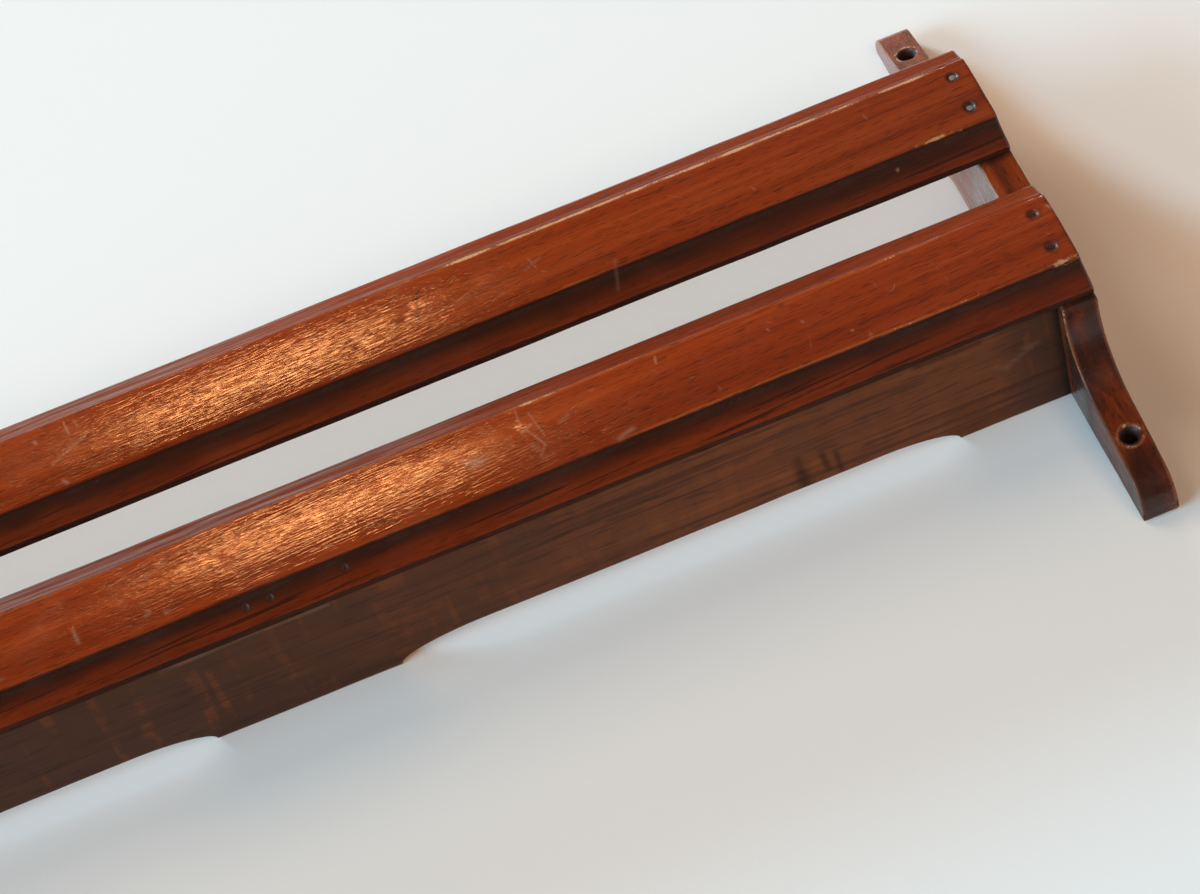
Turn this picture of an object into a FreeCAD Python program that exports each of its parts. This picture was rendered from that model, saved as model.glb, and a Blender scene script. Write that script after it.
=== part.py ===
import FreeCAD, Part
import math
import os

# Wooden book rack for the back of a church pew, in millimetres.
# X runs along the rails, Z is up, and Y = 0 is the pew back that the rack is screwed to.
# The front faces -Y. The origin is the middle of the four screw holes, on the pew back.

# Whole rack
overall_length = 609.6
overall_height = 252.7

# End brackets, sawn from board
bracket_thickness = 13.2
seat_depth = 53.7
seat_margin = 1.6
sweep_radius = 26.8
riser_straight = 2.0
upper_ear_reach = 20.0
upper_ear_depth = 14.9
upper_ear_angle = 15.0
upper_tip_radius = 8.0
lower_ear_reach = 22.7
lower_ear_depth = 19.8
lower_ear_angle = 11.3
lower_tip_radius = 12.2
tip_heel_radius = 1.5
ear_arris_width = 0.7
relief_depth = 3.8
relief_run = 10.0
relief_drop = 5.0
relief_curve_radius = 8.0

# Screw holes through the ears
screw_hole_diameter = 5.4
countersink_diameter = 7.8
countersink_depth = 1.4

# Moulded rails
rail_width = 54.0
rail_edge_thickness = 3.3
rail_strip_width = 7.6
rail_strip_thickness = 6.2
rail_cove_width = 3.7
rail_ridge_thickness = 9.3
rail_crown_rise = 1.1
rail_edge_radius = 0.8
rail_ridge_radius = 0.5
upper_rail_below_screws = 45.3
rail_gap = 20.0

# Shelf board between the brackets
shelf_thickness = 12.7
shelf_above_rail_edge = 4.0
shelf_land_width = 70.2
shelf_end_land = 42.5
arch_depth = 7.4
arch_end_length = 30.0
shelf_arris_radius = 0.7

# Cut nails and brads: eight-sided flat head, square shank that tapers to a blunt point
nail_head_sides = 8
nail_shank_sides = 4
nail_head_diameter = 3.4
nail_head_thickness = 0.9
nail_shank_width = 2.0
nail_point_width = 1.0
nail_length = 32.0
nail_set = 0.5
rail_nail_inset = 7.3
rail_nail_spread = 16.4
shelf_nail_spread = 30.0
brad_head_diameter = 2.4
brad_head_thickness = 0.7
brad_shank_width = 1.5
brad_point_width = 0.8
brad_length = 26.0
brad_height = 3.0
brad_places = (-6.1, 2.9, 30.3)

# Clearances
nail_clearance = 0.05
cut_margin = 1.0
pocket_depth = 4.0
match_tolerance = 0.01

# Places worked out from the sizes above
screw_row_spacing = overall_height - upper_ear_reach - lower_ear_reach
upper_screw_z = screw_row_spacing / 2
lower_screw_z = -screw_row_spacing / 2
upper_rail_top = upper_screw_z - upper_rail_below_screws
upper_rail_bottom = upper_rail_top - rail_width
lower_rail_top = upper_rail_bottom - rail_gap
lower_rail_bottom = lower_rail_top - rail_width
shelf_bottom = lower_rail_bottom + shelf_above_rail_edge
shelf_top = shelf_bottom + shelf_thickness
inner_half_length = overall_length / 2 - bracket_thickness
screw_x = (overall_length - bracket_thickness) / 2
rail_crown_thickness = rail_ridge_thickness + rail_crown_rise
rail_bottoms = {"upper_rail": upper_rail_bottom, "lower_rail": lower_rail_bottom}
sides = {"left": -1, "right": 1}


def vector(x, y, z):
    """A point or direction."""
    return FreeCAD.Vector(x, y, z)


def line(start, end):
    """A straight edge."""
    return Part.LineSegment(start, end).toShape()


def arc(start, middle, end):
    """A round edge through three points."""
    return Part.Arc(start, middle, end).toShape()


def rounded_outline(corners):
    """A closed wire in the YZ plane through (depth, height, radius) corners, rounded by tangent arcs.

    Depth is measured forwards from the pew back, so it runs along -Y.
    """
    points = [vector(0, -depth, height) for depth, height, radius in corners]
    spans = []
    for index, (depth, height, radius) in enumerate(corners):
        here = points[index]
        to_before = (points[index - 1] - here).normalize()
        to_after = (points[(index + 1) % len(points)] - here).normalize()
        half_angle = to_before.getAngle(to_after) / 2
        reach = radius / math.tan(half_angle)
        bisector = (to_before + to_after).normalize()
        middle = here + bisector * (radius / math.sin(half_angle) - radius)
        spans.append((here + to_before * reach, middle, here + to_after * reach, radius))
    edges = []
    for index, (enter, middle, leave, radius) in enumerate(spans):
        edges.append(line(spans[index - 1][2], enter))
        if radius > 0:
            edges.append(arc(enter, middle, leave))
    return Part.Wire(edges)


def ear_depth(screw_depth, angle, distance):
    """Depth of an ear's front slope, a distance past its screw towards the tip."""
    return screw_depth - math.tan(math.radians(angle)) * distance


def sweep_under(seat_edge_depth, angle, screw_distance):
    """Radius of a hollow sweep, no larger than the riser and the ear up to its screw leave room for."""
    half_turn = math.radians(90 - angle) / 2
    on_riser = seat_depth - seat_edge_depth - riser_straight
    on_ear = (screw_distance - countersink_diameter / 2) / math.cos(math.radians(angle))
    return min(sweep_radius, on_riser / math.tan(half_turn), on_ear / math.tan(half_turn))


def bracket_corners():
    """The bracket's outline: pew side up from the lower tip, then down the front.

    Each ear is a straight slope. It meets the riser under the rail seat in a large hollow sweep
    and its tip in a round nose. The pew side is relieved between the upper ear and the shelf.
    """
    upper_tip = upper_screw_z + upper_ear_reach
    lower_tip = lower_screw_z - lower_ear_reach
    seat_top = upper_rail_top + seat_margin
    seat_bottom = lower_rail_bottom - seat_margin
    relief_top = upper_rail_top - relief_drop
    upper_ends = (upper_tip, seat_top)
    upper = [ear_depth(upper_ear_depth, upper_ear_angle, z - upper_screw_z) for z in upper_ends]
    lower_ends = (lower_tip, seat_bottom)
    lower = [ear_depth(lower_ear_depth, lower_ear_angle, lower_screw_z - z) for z in lower_ends]
    upper_sweep = sweep_under(upper[1], upper_ear_angle, upper_screw_z - seat_top)
    lower_sweep = sweep_under(lower[1], lower_ear_angle, seat_bottom - lower_screw_z)
    return [
        (0, lower_tip, tip_heel_radius),
        (0, shelf_top, relief_curve_radius),
        (relief_depth, shelf_top + relief_run, relief_curve_radius),
        (relief_depth, relief_top - relief_run, relief_curve_radius),
        (0, relief_top, relief_curve_radius),
        (0, upper_tip, tip_heel_radius),
        (upper[0], upper_tip, upper_tip_radius),
        (upper[1], seat_top, upper_sweep),
        (seat_depth, seat_top, 0),
        (seat_depth, seat_bottom, 0),
        (lower[1], seat_bottom, lower_sweep),
        (lower[0], lower_tip, lower_tip_radius),
    ]


def is_ear_arris(edge):
    """Whether an edge is one of the long front edges of an ear, from its riser to its nose."""
    box = edge.BoundBox
    beyond_seat = box.ZMin > upper_rail_top or box.ZMax < lower_rail_bottom
    return box.XLength < ear_arris_width and beyond_seat and box.YMax < -tip_heel_radius


def screw_hole(x, z, depth):
    """The cutter for one countersunk screw hole, square to the pew back."""
    radius = screw_hole_diameter / 2
    sink_radius = countersink_diameter / 2
    slope = (sink_radius - radius) / countersink_depth
    front = depth + countersink_depth
    shaft = Part.makeCylinder(radius, front + cut_margin, vector(x, cut_margin, z), vector(0, -1, 0))
    sink_start = vector(x, countersink_depth - depth, z)
    sink_length = 2 * countersink_depth
    sink = Part.makeCone(radius, radius + slope * sink_length, sink_length, sink_start, vector(0, -1, 0))
    return shaft.fuse(sink)


def bracket(side):
    """One scroll-sawn end bracket with its two screw holes."""
    start_x = side * screw_x - bracket_thickness / 2
    board = Part.Face(rounded_outline(bracket_corners())).extrude(vector(bracket_thickness, 0, 0))
    board = board.makeChamfer(ear_arris_width, [edge for edge in board.Edges if is_ear_arris(edge)])
    board.translate(vector(start_x, 0, 0))
    upper_hole = screw_hole(side * screw_x, upper_screw_z, upper_ear_depth)
    lower_hole = screw_hole(side * screw_x, lower_screw_z, lower_ear_depth)
    return board.cut([upper_hole, lower_hole])


def rail_profile_points():
    """Half of the rail's section, from its middle to its edge, as (distance from middle, thickness)."""
    half = rail_width / 2
    return {
        "crown": (0, rail_crown_thickness),
        "ridge": (half - rail_strip_width - rail_cove_width, rail_ridge_thickness),
        "strip": (half - rail_strip_width, rail_strip_thickness),
        "edge": (half, rail_edge_thickness),
        "back": (half, 0),
    }


def cove_middle(ridge, strip, edge):
    """The middle of the cove: a hollow arc that runs into the sloping strip with no corner."""
    chord = (strip[0] - ridge[0], strip[1] - ridge[1])
    chord_length = math.hypot(*chord)
    chord_angle = math.atan2(-chord[1], chord[0])
    strip_angle = math.atan2(strip[1] - edge[1], edge[0] - strip[0])
    sag = chord_length / 2 * math.tan((chord_angle - strip_angle) / 2)
    middle = ((ridge[0] + strip[0]) / 2, (ridge[1] + strip[1]) / 2)
    return (middle[0] - sag * math.sin(chord_angle), middle[1] - sag * math.cos(chord_angle))


def rail_section(centre_z):
    """The moulded section: a crowned face between two ridges, each with a cove and a sloping strip."""
    half = rail_profile_points()

    def place(point, direction):
        return vector(0, -seat_depth - point[1], centre_z + direction * point[0])

    hollow = cove_middle(half["ridge"], half["strip"], half["edge"])
    edges = [arc(place(half["ridge"], -1), place(half["crown"], 1), place(half["ridge"], 1))]
    for direction in (-1, 1):
        ridge, strip, edge, back = [place(half[name], direction) for name in ("ridge", "strip", "edge", "back")]
        edges.append(arc(ridge, place(hollow, direction), strip))
        edges.append(line(strip, edge))
        edges.append(line(edge, back))
    edges.append(line(place(half["back"], -1), place(half["back"], 1)))
    return Part.Wire(Part.__sortEdges__(edges))


def long_edges_at(solid, thickness):
    """The edges that run the whole length of a rail at one thickness of its section."""
    found = []
    for edge in solid.Edges:
        box = edge.BoundBox
        runs_along = box.XLength > overall_length / 2
        if runs_along and abs(box.YMin + seat_depth + thickness) < match_tolerance:
            found.append(edge)
    return found


def rail(bottom_z):
    """One moulded rail, flush with the outer faces of the brackets."""
    section = rail_section(bottom_z + rail_width / 2)
    board = Part.Face(section).extrude(vector(overall_length, 0, 0))
    board.translate(vector(-overall_length / 2, 0, 0))
    board = board.makeFillet(rail_edge_radius, long_edges_at(board, rail_edge_thickness))
    return board.makeFillet(rail_ridge_radius, long_edges_at(board, rail_ridge_thickness))


def arch_edges(start_x, end_x):
    """One long shallow arch in the shelf's rear edge: a level run with a quarter ellipse at each end."""
    level = -arch_depth
    first = vector(start_x + arch_end_length, 0, 0)
    last = vector(end_x - arch_end_length, 0, 0)
    reach = vector(arch_end_length, 0, 0)
    rise = vector(0, level, 0)
    rising = Part.Ellipse(first - reach, first + rise, first)
    falling = Part.Ellipse(last + reach, last + rise, last)
    return [
        Part.ArcOfEllipse(rising, 0, math.pi / 2).toShape(),
        line(vector(first.x, level, 0), vector(last.x, level, 0)),
        Part.ArcOfEllipse(falling, 0, math.pi / 2).toShape(),
    ]


def shelf():
    """The shelf board, with two arches in its rear edge and an eased lower front edge."""
    half = inner_half_length
    land = shelf_land_width / 2
    arch_end = half - shelf_end_land
    edges = arch_edges(-arch_end, -land) + arch_edges(land, arch_end)
    edges.append(line(vector(-half, 0, 0), vector(-arch_end, 0, 0)))
    edges.append(line(vector(-land, 0, 0), vector(land, 0, 0)))
    edges.append(line(vector(arch_end, 0, 0), vector(half, 0, 0)))
    edges.append(line(vector(half, 0, 0), vector(half, -seat_depth, 0)))
    edges.append(line(vector(half, -seat_depth, 0), vector(-half, -seat_depth, 0)))
    edges.append(line(vector(-half, -seat_depth, 0), vector(-half, 0, 0)))
    outline = Part.Wire(Part.__sortEdges__(edges))
    board = Part.Face(outline).extrude(vector(0, 0, shelf_thickness))
    front = [edge for edge in board.Edges if edge.BoundBox.YMax < -seat_depth + match_tolerance]
    eased = [edge for edge in front if edge.BoundBox.ZMax < match_tolerance]
    board = board.makeFillet(shelf_arris_radius, eased)
    board.translate(vector(0, 0, shelf_bottom))
    return board


def regular_polygon(sides_count, radius, z):
    """A closed wire with equal sides, level at one height."""
    turns = [2 * math.pi * number / sides_count for number in range(sides_count + 1)]
    return Part.makePolygon([vector(radius * math.cos(turn), radius * math.sin(turn), z) for turn in turns])


def nail(sizes, place, direction, clearance, pocket):
    """A cut nail driven along a direction, with the top of its head at a place.

    Clearance widens it and pocket lengthens its head outwards, which makes the cutter for its hole.
    """
    corner = 1 / math.cos(math.pi / nail_shank_sides)
    neck = -sizes["head_thickness"]
    head_outline = regular_polygon(nail_head_sides, sizes["head_diameter"] / 2 + clearance, pocket)
    head = Part.Face(head_outline).extrude(vector(0, 0, neck - pocket))
    shank_top = regular_polygon(nail_shank_sides, (sizes["shank_width"] / 2 + clearance) * corner, neck)
    end = -sizes["length"] - clearance
    shank_end = regular_polygon(nail_shank_sides, (sizes["point_width"] / 2 + clearance) * corner, end)
    shank = Part.makeLoft([shank_top, shank_end], True, True)
    solid = head.fuse(shank).removeSplitter()
    solid.Placement = FreeCAD.Placement(place, FreeCAD.Rotation(vector(0, 0, -1), direction))
    return solid


NAIL = {
    "head_diameter": nail_head_diameter,
    "head_thickness": nail_head_thickness,
    "shank_width": nail_shank_width,
    "point_width": nail_point_width,
    "length": nail_length,
}
BRAD = {
    "head_diameter": brad_head_diameter,
    "head_thickness": brad_head_thickness,
    "shank_width": brad_shank_width,
    "point_width": brad_point_width,
    "length": brad_length,
}


def crown_thickness_at(distance):
    """Thickness of a rail's crowned face, a distance from its middle."""
    ridge_distance, ridge_thickness = rail_profile_points()["ridge"]
    rise = rail_crown_rise
    radius = (ridge_distance ** 2 + rise ** 2) / (2 * rise)
    return rail_crown_thickness - radius + math.sqrt(radius ** 2 - distance ** 2)


def strip_thickness_at(distance):
    """Thickness of a rail's sloping strip, a distance in from its edge."""
    slope = (rail_strip_thickness - rail_edge_thickness) / rail_strip_width
    return rail_edge_thickness + slope * min(distance, rail_strip_width)


def rail_nails():
    """Two nails through each end of each rail into the bracket: name to sizes, place, direction, woods."""
    nails = {}
    half_spread = rail_nail_spread / 2
    head_depth = seat_depth + crown_thickness_at(half_spread) - nail_set
    for rail_name, bottom in rail_bottoms.items():
        middle = bottom + rail_width / 2
        for side_name, side in sides.items():
            x = side * (overall_length / 2 - rail_nail_inset)
            for level_name, level in (("high", 1), ("low", -1)):
                name = rail_name + "_nail_" + side_name + "_" + level_name
                place = vector(x, -head_depth, middle + level * half_spread)
                nails[name] = (NAIL, place, vector(0, 1, 0), (rail_name, side_name + "_end_bracket"))
    return nails


def shelf_nails():
    """Two nails through each bracket into the end of the shelf."""
    nails = {}
    height = shelf_bottom + shelf_thickness / 2
    for side_name, side in sides.items():
        x = side * (overall_length / 2 - nail_set)
        for row_name, row in (("front", -1), ("back", 1)):
            name = "shelf_nail_" + side_name + "_" + row_name
            place = vector(x, -seat_depth / 2 + row * shelf_nail_spread / 2, height)
            nails[name] = (NAIL, place, vector(-side, 0, 0), (side_name + "_end_bracket", "bottom_shelf"))
    return nails


def shelf_brads():
    """Brads through the strip of the lower rail into the front edge of the shelf."""
    nails = {}
    head_depth = seat_depth + strip_thickness_at(shelf_above_rail_edge + brad_height) - nail_set
    for number, x in enumerate(brad_places, start=1):
        place = vector(x, -head_depth, shelf_bottom + brad_height)
        nails["shelf_brad_" + str(number)] = (BRAD, place, vector(0, 1, 0), ("lower_rail", "bottom_shelf"))
    return nails


def build():
    """Every piece of the rack by name, with each nail hole cut in the woods that its nail holds."""
    woods = {name: rail(bottom) for name, bottom in rail_bottoms.items()}
    woods["bottom_shelf"] = shelf()
    for side_name, side in sides.items():
        woods[side_name + "_end_bracket"] = bracket(side)
    nails = {**rail_nails(), **shelf_nails(), **shelf_brads()}
    pieces = {}
    for name, wood in woods.items():
        held = [driven for driven in nails.values() if name in driven[3]]
        holes = [nail(sizes, place, way, nail_clearance, pocket_depth) for sizes, place, way, joined in held]
        pieces[name] = wood.cut(holes)
    for name, (sizes, place, way, joined) in nails.items():
        pieces[name] = nail(sizes, place, way, 0, 0)
    return pieces


os.makedirs("parts", exist_ok=True)
for piece_name, piece in build().items():
    piece.exportStep("parts/" + piece_name + ".step")
    volume = piece.Volume / 1000
    print(piece_name, "solids", len(piece.Solids), "valid", piece.isValid(), "volume %.3f cm3" % volume)
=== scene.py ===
"""A hymn book rack for a pew back: moulded rails, scroll-sawn end brackets, an arched shelf and cut nails.

X runs along the rails, Z is up, and Y = 0 is the pew back. The front faces -Y. Shapes are worked out
in millimetres as whole arrays, and put into meshes in metres.
"""

import logging
import math
from abc import ABC, abstractmethod
from collections.abc import Callable, Sequence
from dataclasses import dataclass, replace
from enum import Enum
from typing import ClassVar

import bpy
import numpy as np
from mathutils import Matrix, Vector


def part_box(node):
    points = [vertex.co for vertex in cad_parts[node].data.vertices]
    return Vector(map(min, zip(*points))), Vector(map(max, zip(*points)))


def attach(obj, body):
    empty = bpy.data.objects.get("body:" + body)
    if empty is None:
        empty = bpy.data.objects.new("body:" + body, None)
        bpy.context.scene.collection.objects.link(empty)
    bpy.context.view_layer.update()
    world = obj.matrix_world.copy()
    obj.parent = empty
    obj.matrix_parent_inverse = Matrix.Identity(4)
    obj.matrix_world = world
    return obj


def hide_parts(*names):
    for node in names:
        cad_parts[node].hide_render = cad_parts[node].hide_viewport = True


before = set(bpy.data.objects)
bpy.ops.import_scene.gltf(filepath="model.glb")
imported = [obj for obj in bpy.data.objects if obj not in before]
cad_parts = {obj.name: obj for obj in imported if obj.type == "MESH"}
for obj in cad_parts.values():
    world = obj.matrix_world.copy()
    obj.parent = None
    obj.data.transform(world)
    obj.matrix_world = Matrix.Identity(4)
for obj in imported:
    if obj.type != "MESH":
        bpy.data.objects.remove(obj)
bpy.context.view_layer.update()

MM = 0.001
FINE_PLACES = 20001
LATTICE_SIZE = 97
LOG = logging.getLogger("rack")
Colour = tuple[float, float, float]
Place = tuple[float, float, float]
Socket = bpy.types.NodeSocket


class Slot(Enum):
    """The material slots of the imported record."""

    RAIL = "rail_wood"
    BRACKET = "bracket_wood"
    SHELF = "shelf_wood"
    NAIL = "nail_iron"


class Side(Enum):
    """The two ends of the rack."""

    LEFT = "left"
    RIGHT = "right"


class Ridge(Enum):
    """The two ridges of a rail's moulding, by their direction from its middle."""

    UPPER = 1
    LOWER = -1


class Mark(Enum):
    """The ageing marks that a mesh keeps for its finish to read. Some of them also carry painted shade and
    painted sheen.
    """

    WEAR = "wear"
    # Dirt in corners; on the rails' coves and lower edges it is also painted shade.
    CORNER = "corner"
    # Dark varnish; below the rails' lower ridges it is also painted shade.
    DEEP = "deep"
    # Haze; on the rails' upper strips and the brackets' inner faces it is also a painted sheen.
    HAZE = "haze"
    SCRATCH = "scratch"
    CALM = "calm"


# Shapes as arrays


def node_box(name: str) -> tuple[np.ndarray, np.ndarray]:
    """The lowest and highest corners of a CAD node as arrays of x, y and z, in millimetres."""
    low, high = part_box(name)
    return np.array(low) / MM, np.array(high) / MM


def bell(distance: np.ndarray, width: float) -> np.ndarray:
    """A bell curve that is 1 at distance 0 and falls to 1/e at the width."""
    return np.exp(-((distance / width) ** 2))


def step_between(value: np.ndarray, low: float, high: float) -> np.ndarray:
    """A smooth step that is 0 below low and 1 above high."""
    share = np.clip((value - low) / (high - low), 0, 1)
    return share * share * (3 - 2 * share)


def smooth_noise(u: np.ndarray, v: np.ndarray, seed: int) -> np.ndarray:
    """Random heights on a whole-number lattice, blended between neighbours by a smooth step each way.

    Args:
        u: First coordinate, in lattice cells.
        v: Second coordinate, in lattice cells.
        seed: Which lattice of random heights to use.

    Returns:
        Heights from 0 to 1, shaped as u and v together.
    """
    size = LATTICE_SIZE
    lattice = np.random.default_rng(seed).random((size, size))
    u, v = np.broadcast_arrays(u, v)
    left, low = np.floor(u).astype(int), np.floor(v).astype(int)
    across, up = step_between(u - left, 0, 1), step_between(v - low, 0, 1)
    left, low, right, high = left % size, low % size, (left + 1) % size, (low + 1) % size
    lower = lattice[left, low] * (1 - across) + lattice[right, low] * across
    upper = lattice[left, high] * (1 - across) + lattice[right, high] * across
    return lower * (1 - up) + upper * up


def spaced(start: float, end: float, spacing: Callable[[np.ndarray], np.ndarray]) -> np.ndarray:
    """Places from start to end whose distance apart follows a wanted spacing.

    The places are equal steps of the running sum of one over the spacing.

    Args:
        start: First place.
        end: Last place.
        spacing: The wanted distance apart at each place.

    Returns:
        The places in order, both ends included.
    """
    fine = np.linspace(start, end, FINE_PLACES)
    density = 1 / spacing(fine)
    running = np.concatenate([[0], np.cumsum((density[1:] + density[:-1]) / 2 * np.diff(fine))])
    return np.interp(np.linspace(0, running[-1], int(running[-1]) + 2), running, fine)


def along_path(path: np.ndarray, places: np.ndarray) -> np.ndarray:
    """Points at given shares of a path's length, straight between its own points.

    Args:
        path: Points of the path, one row each.
        places: Shares of the length, from 0 to 1.

    Returns:
        One row for each place.
    """
    steps = np.linalg.norm(np.diff(path, axis=0), axis=1)
    run = np.concatenate([[0], np.cumsum(steps)])
    columns = [np.interp(places * run[-1], run, path[:, column]) for column in range(path.shape[1])]
    return np.stack(columns, axis=1)


def soften(loop: np.ndarray, reach: float) -> np.ndarray:
    """A closed path rounded at every corner.

    Each coordinate is blurred along the path by a bell of the given reach, as a product of frequencies.

    Args:
        loop: Evenly spaced points of the closed path, one row each.
        reach: Standard deviation of the bell, in millimetres.

    Returns:
        As many points as before.
    """
    step = np.linalg.norm(loop[1] - loop[0])
    keep = np.exp(-2 * (np.pi * reach * np.fft.rfftfreq(len(loop), d=step)) ** 2)
    return np.fft.irfft(np.fft.rfft(loop, axis=0) * keep[:, None], n=len(loop), axis=0)


def rounded_path(corners: Sequence[tuple[float, float, float]], steps: int = 24) -> np.ndarray:
    """An open path through corners of depth, height and radius, rounded by arcs that touch their sides.

    Args:
        corners: The corners in order. A radius of 0 leaves a corner as it is.
        steps: Points on each arc.

    Returns:
        Points of the path as rows of depth and height.
    """
    points = np.array([corner[:2] for corner in corners], dtype=float)
    spans = [points[:1]]
    for before, here, after, corner in zip(points, points[1:], points[2:], corners[1:]):
        radius = corner[2]
        back, on = before - here, after - here
        back, on = back / np.linalg.norm(back), on / np.linalg.norm(on)
        half = math.acos(float(np.clip(back @ on, -1, 1))) / 2
        middle = (back + on) / np.linalg.norm(back + on)
        centre = here + middle * radius / math.sin(half)
        sweep = np.linspace(-1, 1, steps)[:, None] * (math.pi / 2 - half)
        beside = (on - back) / np.linalg.norm(on - back)
        spans.append(centre - radius * np.cos(sweep) * middle + radius * np.sin(sweep) * beside)
    spans.append(points[-1:])
    return np.concatenate(spans)


@dataclass(frozen=True)
class BoardRing:
    """A board's cross-section as a closed ring: a rectangle with rounded corners, in shares of its size."""

    across: int = 14
    along: int = 26
    corner: int = 5

    def template(self) -> tuple[np.ndarray, np.ndarray, np.ndarray, np.ndarray]:
        """The ring's points: places in the inner rectangle, from -1 to 1, and pushes outwards by a radius.

        Returns:
            Place along the board's depth, place across its thickness, push along and push across.
        """
        turn = np.linspace(0, np.pi / 2, self.corner)
        flat_across = np.linspace(-1, 1, self.across)[1:-1]
        flat_along = np.linspace(-1, 1, self.along)[1:-1]
        depth, thick, push_depth, push_thick = [], [], [], []
        for quarter, run in enumerate((flat_along, flat_across, flat_along, flat_across)):
            side = quarter * np.pi / 2
            sign_depth, sign_thick = ((1, 1), (-1, 1), (-1, -1), (1, -1))[quarter]
            angle = turn + side
            depth.append(np.full(self.corner, sign_depth, dtype=float))
            thick.append(np.full(self.corner, sign_thick, dtype=float))
            push_depth.append(np.cos(angle))
            push_thick.append(np.sin(angle))
            goes = -run if quarter < 2 else run
            level = quarter % 2 == 0
            depth.append(goes if level else np.full(len(run), sign_depth, dtype=float))
            thick.append(np.full(len(run), sign_thick, dtype=float) if level else goes)
            push_depth.append(np.full(len(run), np.cos(side + np.pi / 2)))
            push_thick.append(np.full(len(run), np.sin(side + np.pi / 2)))
        return tuple(np.concatenate(part) for part in (depth, thick, push_depth, push_thick))

    def rings(self, front: np.ndarray, back: np.ndarray, normal: Place, half: float,
              radius: np.ndarray) -> np.ndarray:
        """Rings for a board whose front and back edges are two paths with as many points.

        A point is the middle of its ruling, plus its place along the ruling, plus its place across the
        thickness.

        Args:
            front: Points of the front edge, one row each.
            back: Points of the back edge, one row each.
            normal: Direction of the board's thickness.
            half: Half the thickness.
            radius: Radius of the rounded arrises at each ring.

        Returns:
            Ring by ring, the points around it.
        """
        depth, thick, push_depth, push_thick = self.template()
        ruling = front - back
        length = np.linalg.norm(ruling, axis=1, keepdims=True)
        ruling = ruling / length
        radius = np.minimum(radius[:, None], 0.45 * length)
        place = depth * (length / 2 - radius) + radius * push_depth
        rise = thick * (half - radius) + radius * push_thick
        middle = (front + back) / 2
        return middle[:, None] + place[..., None] * ruling[:, None] + rise[..., None] * np.array(normal)


def closed_tube(name: str, rings: np.ndarray, poles: np.ndarray | None = None) -> bpy.types.Mesh:
    """A closed surface over a stack of closed rings, with a pole at each end.

    Each ring is joined to the next point by point with four-sided faces, and each end ring to its pole
    with triangles. Faces are turned outwards by the sign of the volume that they enclose.

    Args:
        name: The mesh's name.
        rings: Ring by ring, the points around it, in millimetres.
        poles: The points before the first and after the last ring. Without them, the middles of the two.

    Returns:
        A smooth-shaded mesh in metres.
    """
    count, around = rings.shape[:2]
    if poles is None:
        poles = np.stack([rings[0].mean(axis=0), rings[-1].mean(axis=0)])
    points = np.concatenate([rings.reshape(-1, 3), poles])
    here = np.arange(count * around).reshape(count, around)
    beside = np.roll(here, -1, axis=1)
    quads = np.stack([here[:-1], beside[:-1], beside[1:], here[1:]], axis=-1).reshape(-1, 4)
    first = np.stack([np.full(around, count * around), beside[0], here[0]], axis=-1)
    last = np.stack([np.full(around, count * around + 1), here[-1], beside[-1]], axis=-1)
    corners = np.concatenate([quads[:, :3], quads[:, [0, 2, 3]], first, last])
    a, b, c = (points[corners[:, column]] for column in range(3))
    if np.einsum("ij,ij->", a, np.cross(b, c)) < 0:
        quads, first, last = quads[:, ::-1], first[:, ::-1], last[:, ::-1]
    mesh = bpy.data.meshes.new(name)
    mesh.from_pydata((points * MM).tolist(), [], quads.tolist() + first.tolist() + last.tolist())
    shade(mesh)
    return mesh


def shade(mesh: bpy.types.Mesh, sharp: float = 42.0) -> None:
    """Shades a mesh smooth, apart from its sharp edges.

    Args:
        mesh: The mesh.
        sharp: The turn in degrees past which an edge stays sharp.
    """
    mesh.polygons.foreach_set("use_smooth", np.ones(len(mesh.polygons), dtype=bool))
    mesh.set_sharp_from_angle(angle=math.radians(sharp))
    mesh.update()


def points_of(mesh: bpy.types.Mesh) -> np.ndarray:
    """The points of a mesh.

    Args:
        mesh: The mesh.

    Returns:
        One row of x, y and z for each point, in millimetres.
    """
    flat = np.empty(len(mesh.vertices) * 3)
    mesh.vertices.foreach_get("co", flat)
    return flat.reshape(-1, 3) / MM


def mark(mesh: bpy.types.Mesh, kind: Mark, values: np.ndarray) -> None:
    """Keeps one number from 0 to 1 for each point of a mesh, for its finish to read."""
    layer = mesh.attributes.new(kind.value, "FLOAT", "POINT")
    layer.data.foreach_set("value", np.clip(values, 0, 1).astype(np.float32).ravel())


def cut_away(mesh: bpy.types.Mesh, cutters: Sequence[bpy.types.Mesh]) -> bpy.types.Mesh:
    """Cuts closed shapes out of a mesh.

    Args:
        mesh: The mesh to cut, which is used up.
        cutters: The closed shapes to take away, which are used up.

    Returns:
        The cut mesh.
    """
    name = mesh.name
    body = bpy.data.objects.new("blank", mesh)
    bpy.context.collection.objects.link(body)
    tools = [bpy.data.objects.new("cutter", cutter) for cutter in cutters]
    for tool in tools:
        bpy.context.collection.objects.link(tool)
        taking = body.modifiers.new("cut", "BOOLEAN")
        taking.operation = "DIFFERENCE"
        taking.solver = "EXACT"
        taking.object = tool
    seen = body.evaluated_get(bpy.context.evaluated_depsgraph_get())
    cut = bpy.data.meshes.new_from_object(seen)
    for thing in (body, *tools):
        used = thing.data
        bpy.data.objects.remove(thing)
        bpy.data.meshes.remove(used)
    cut.name = name
    shade(cut)
    return cut


# Finishes


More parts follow.
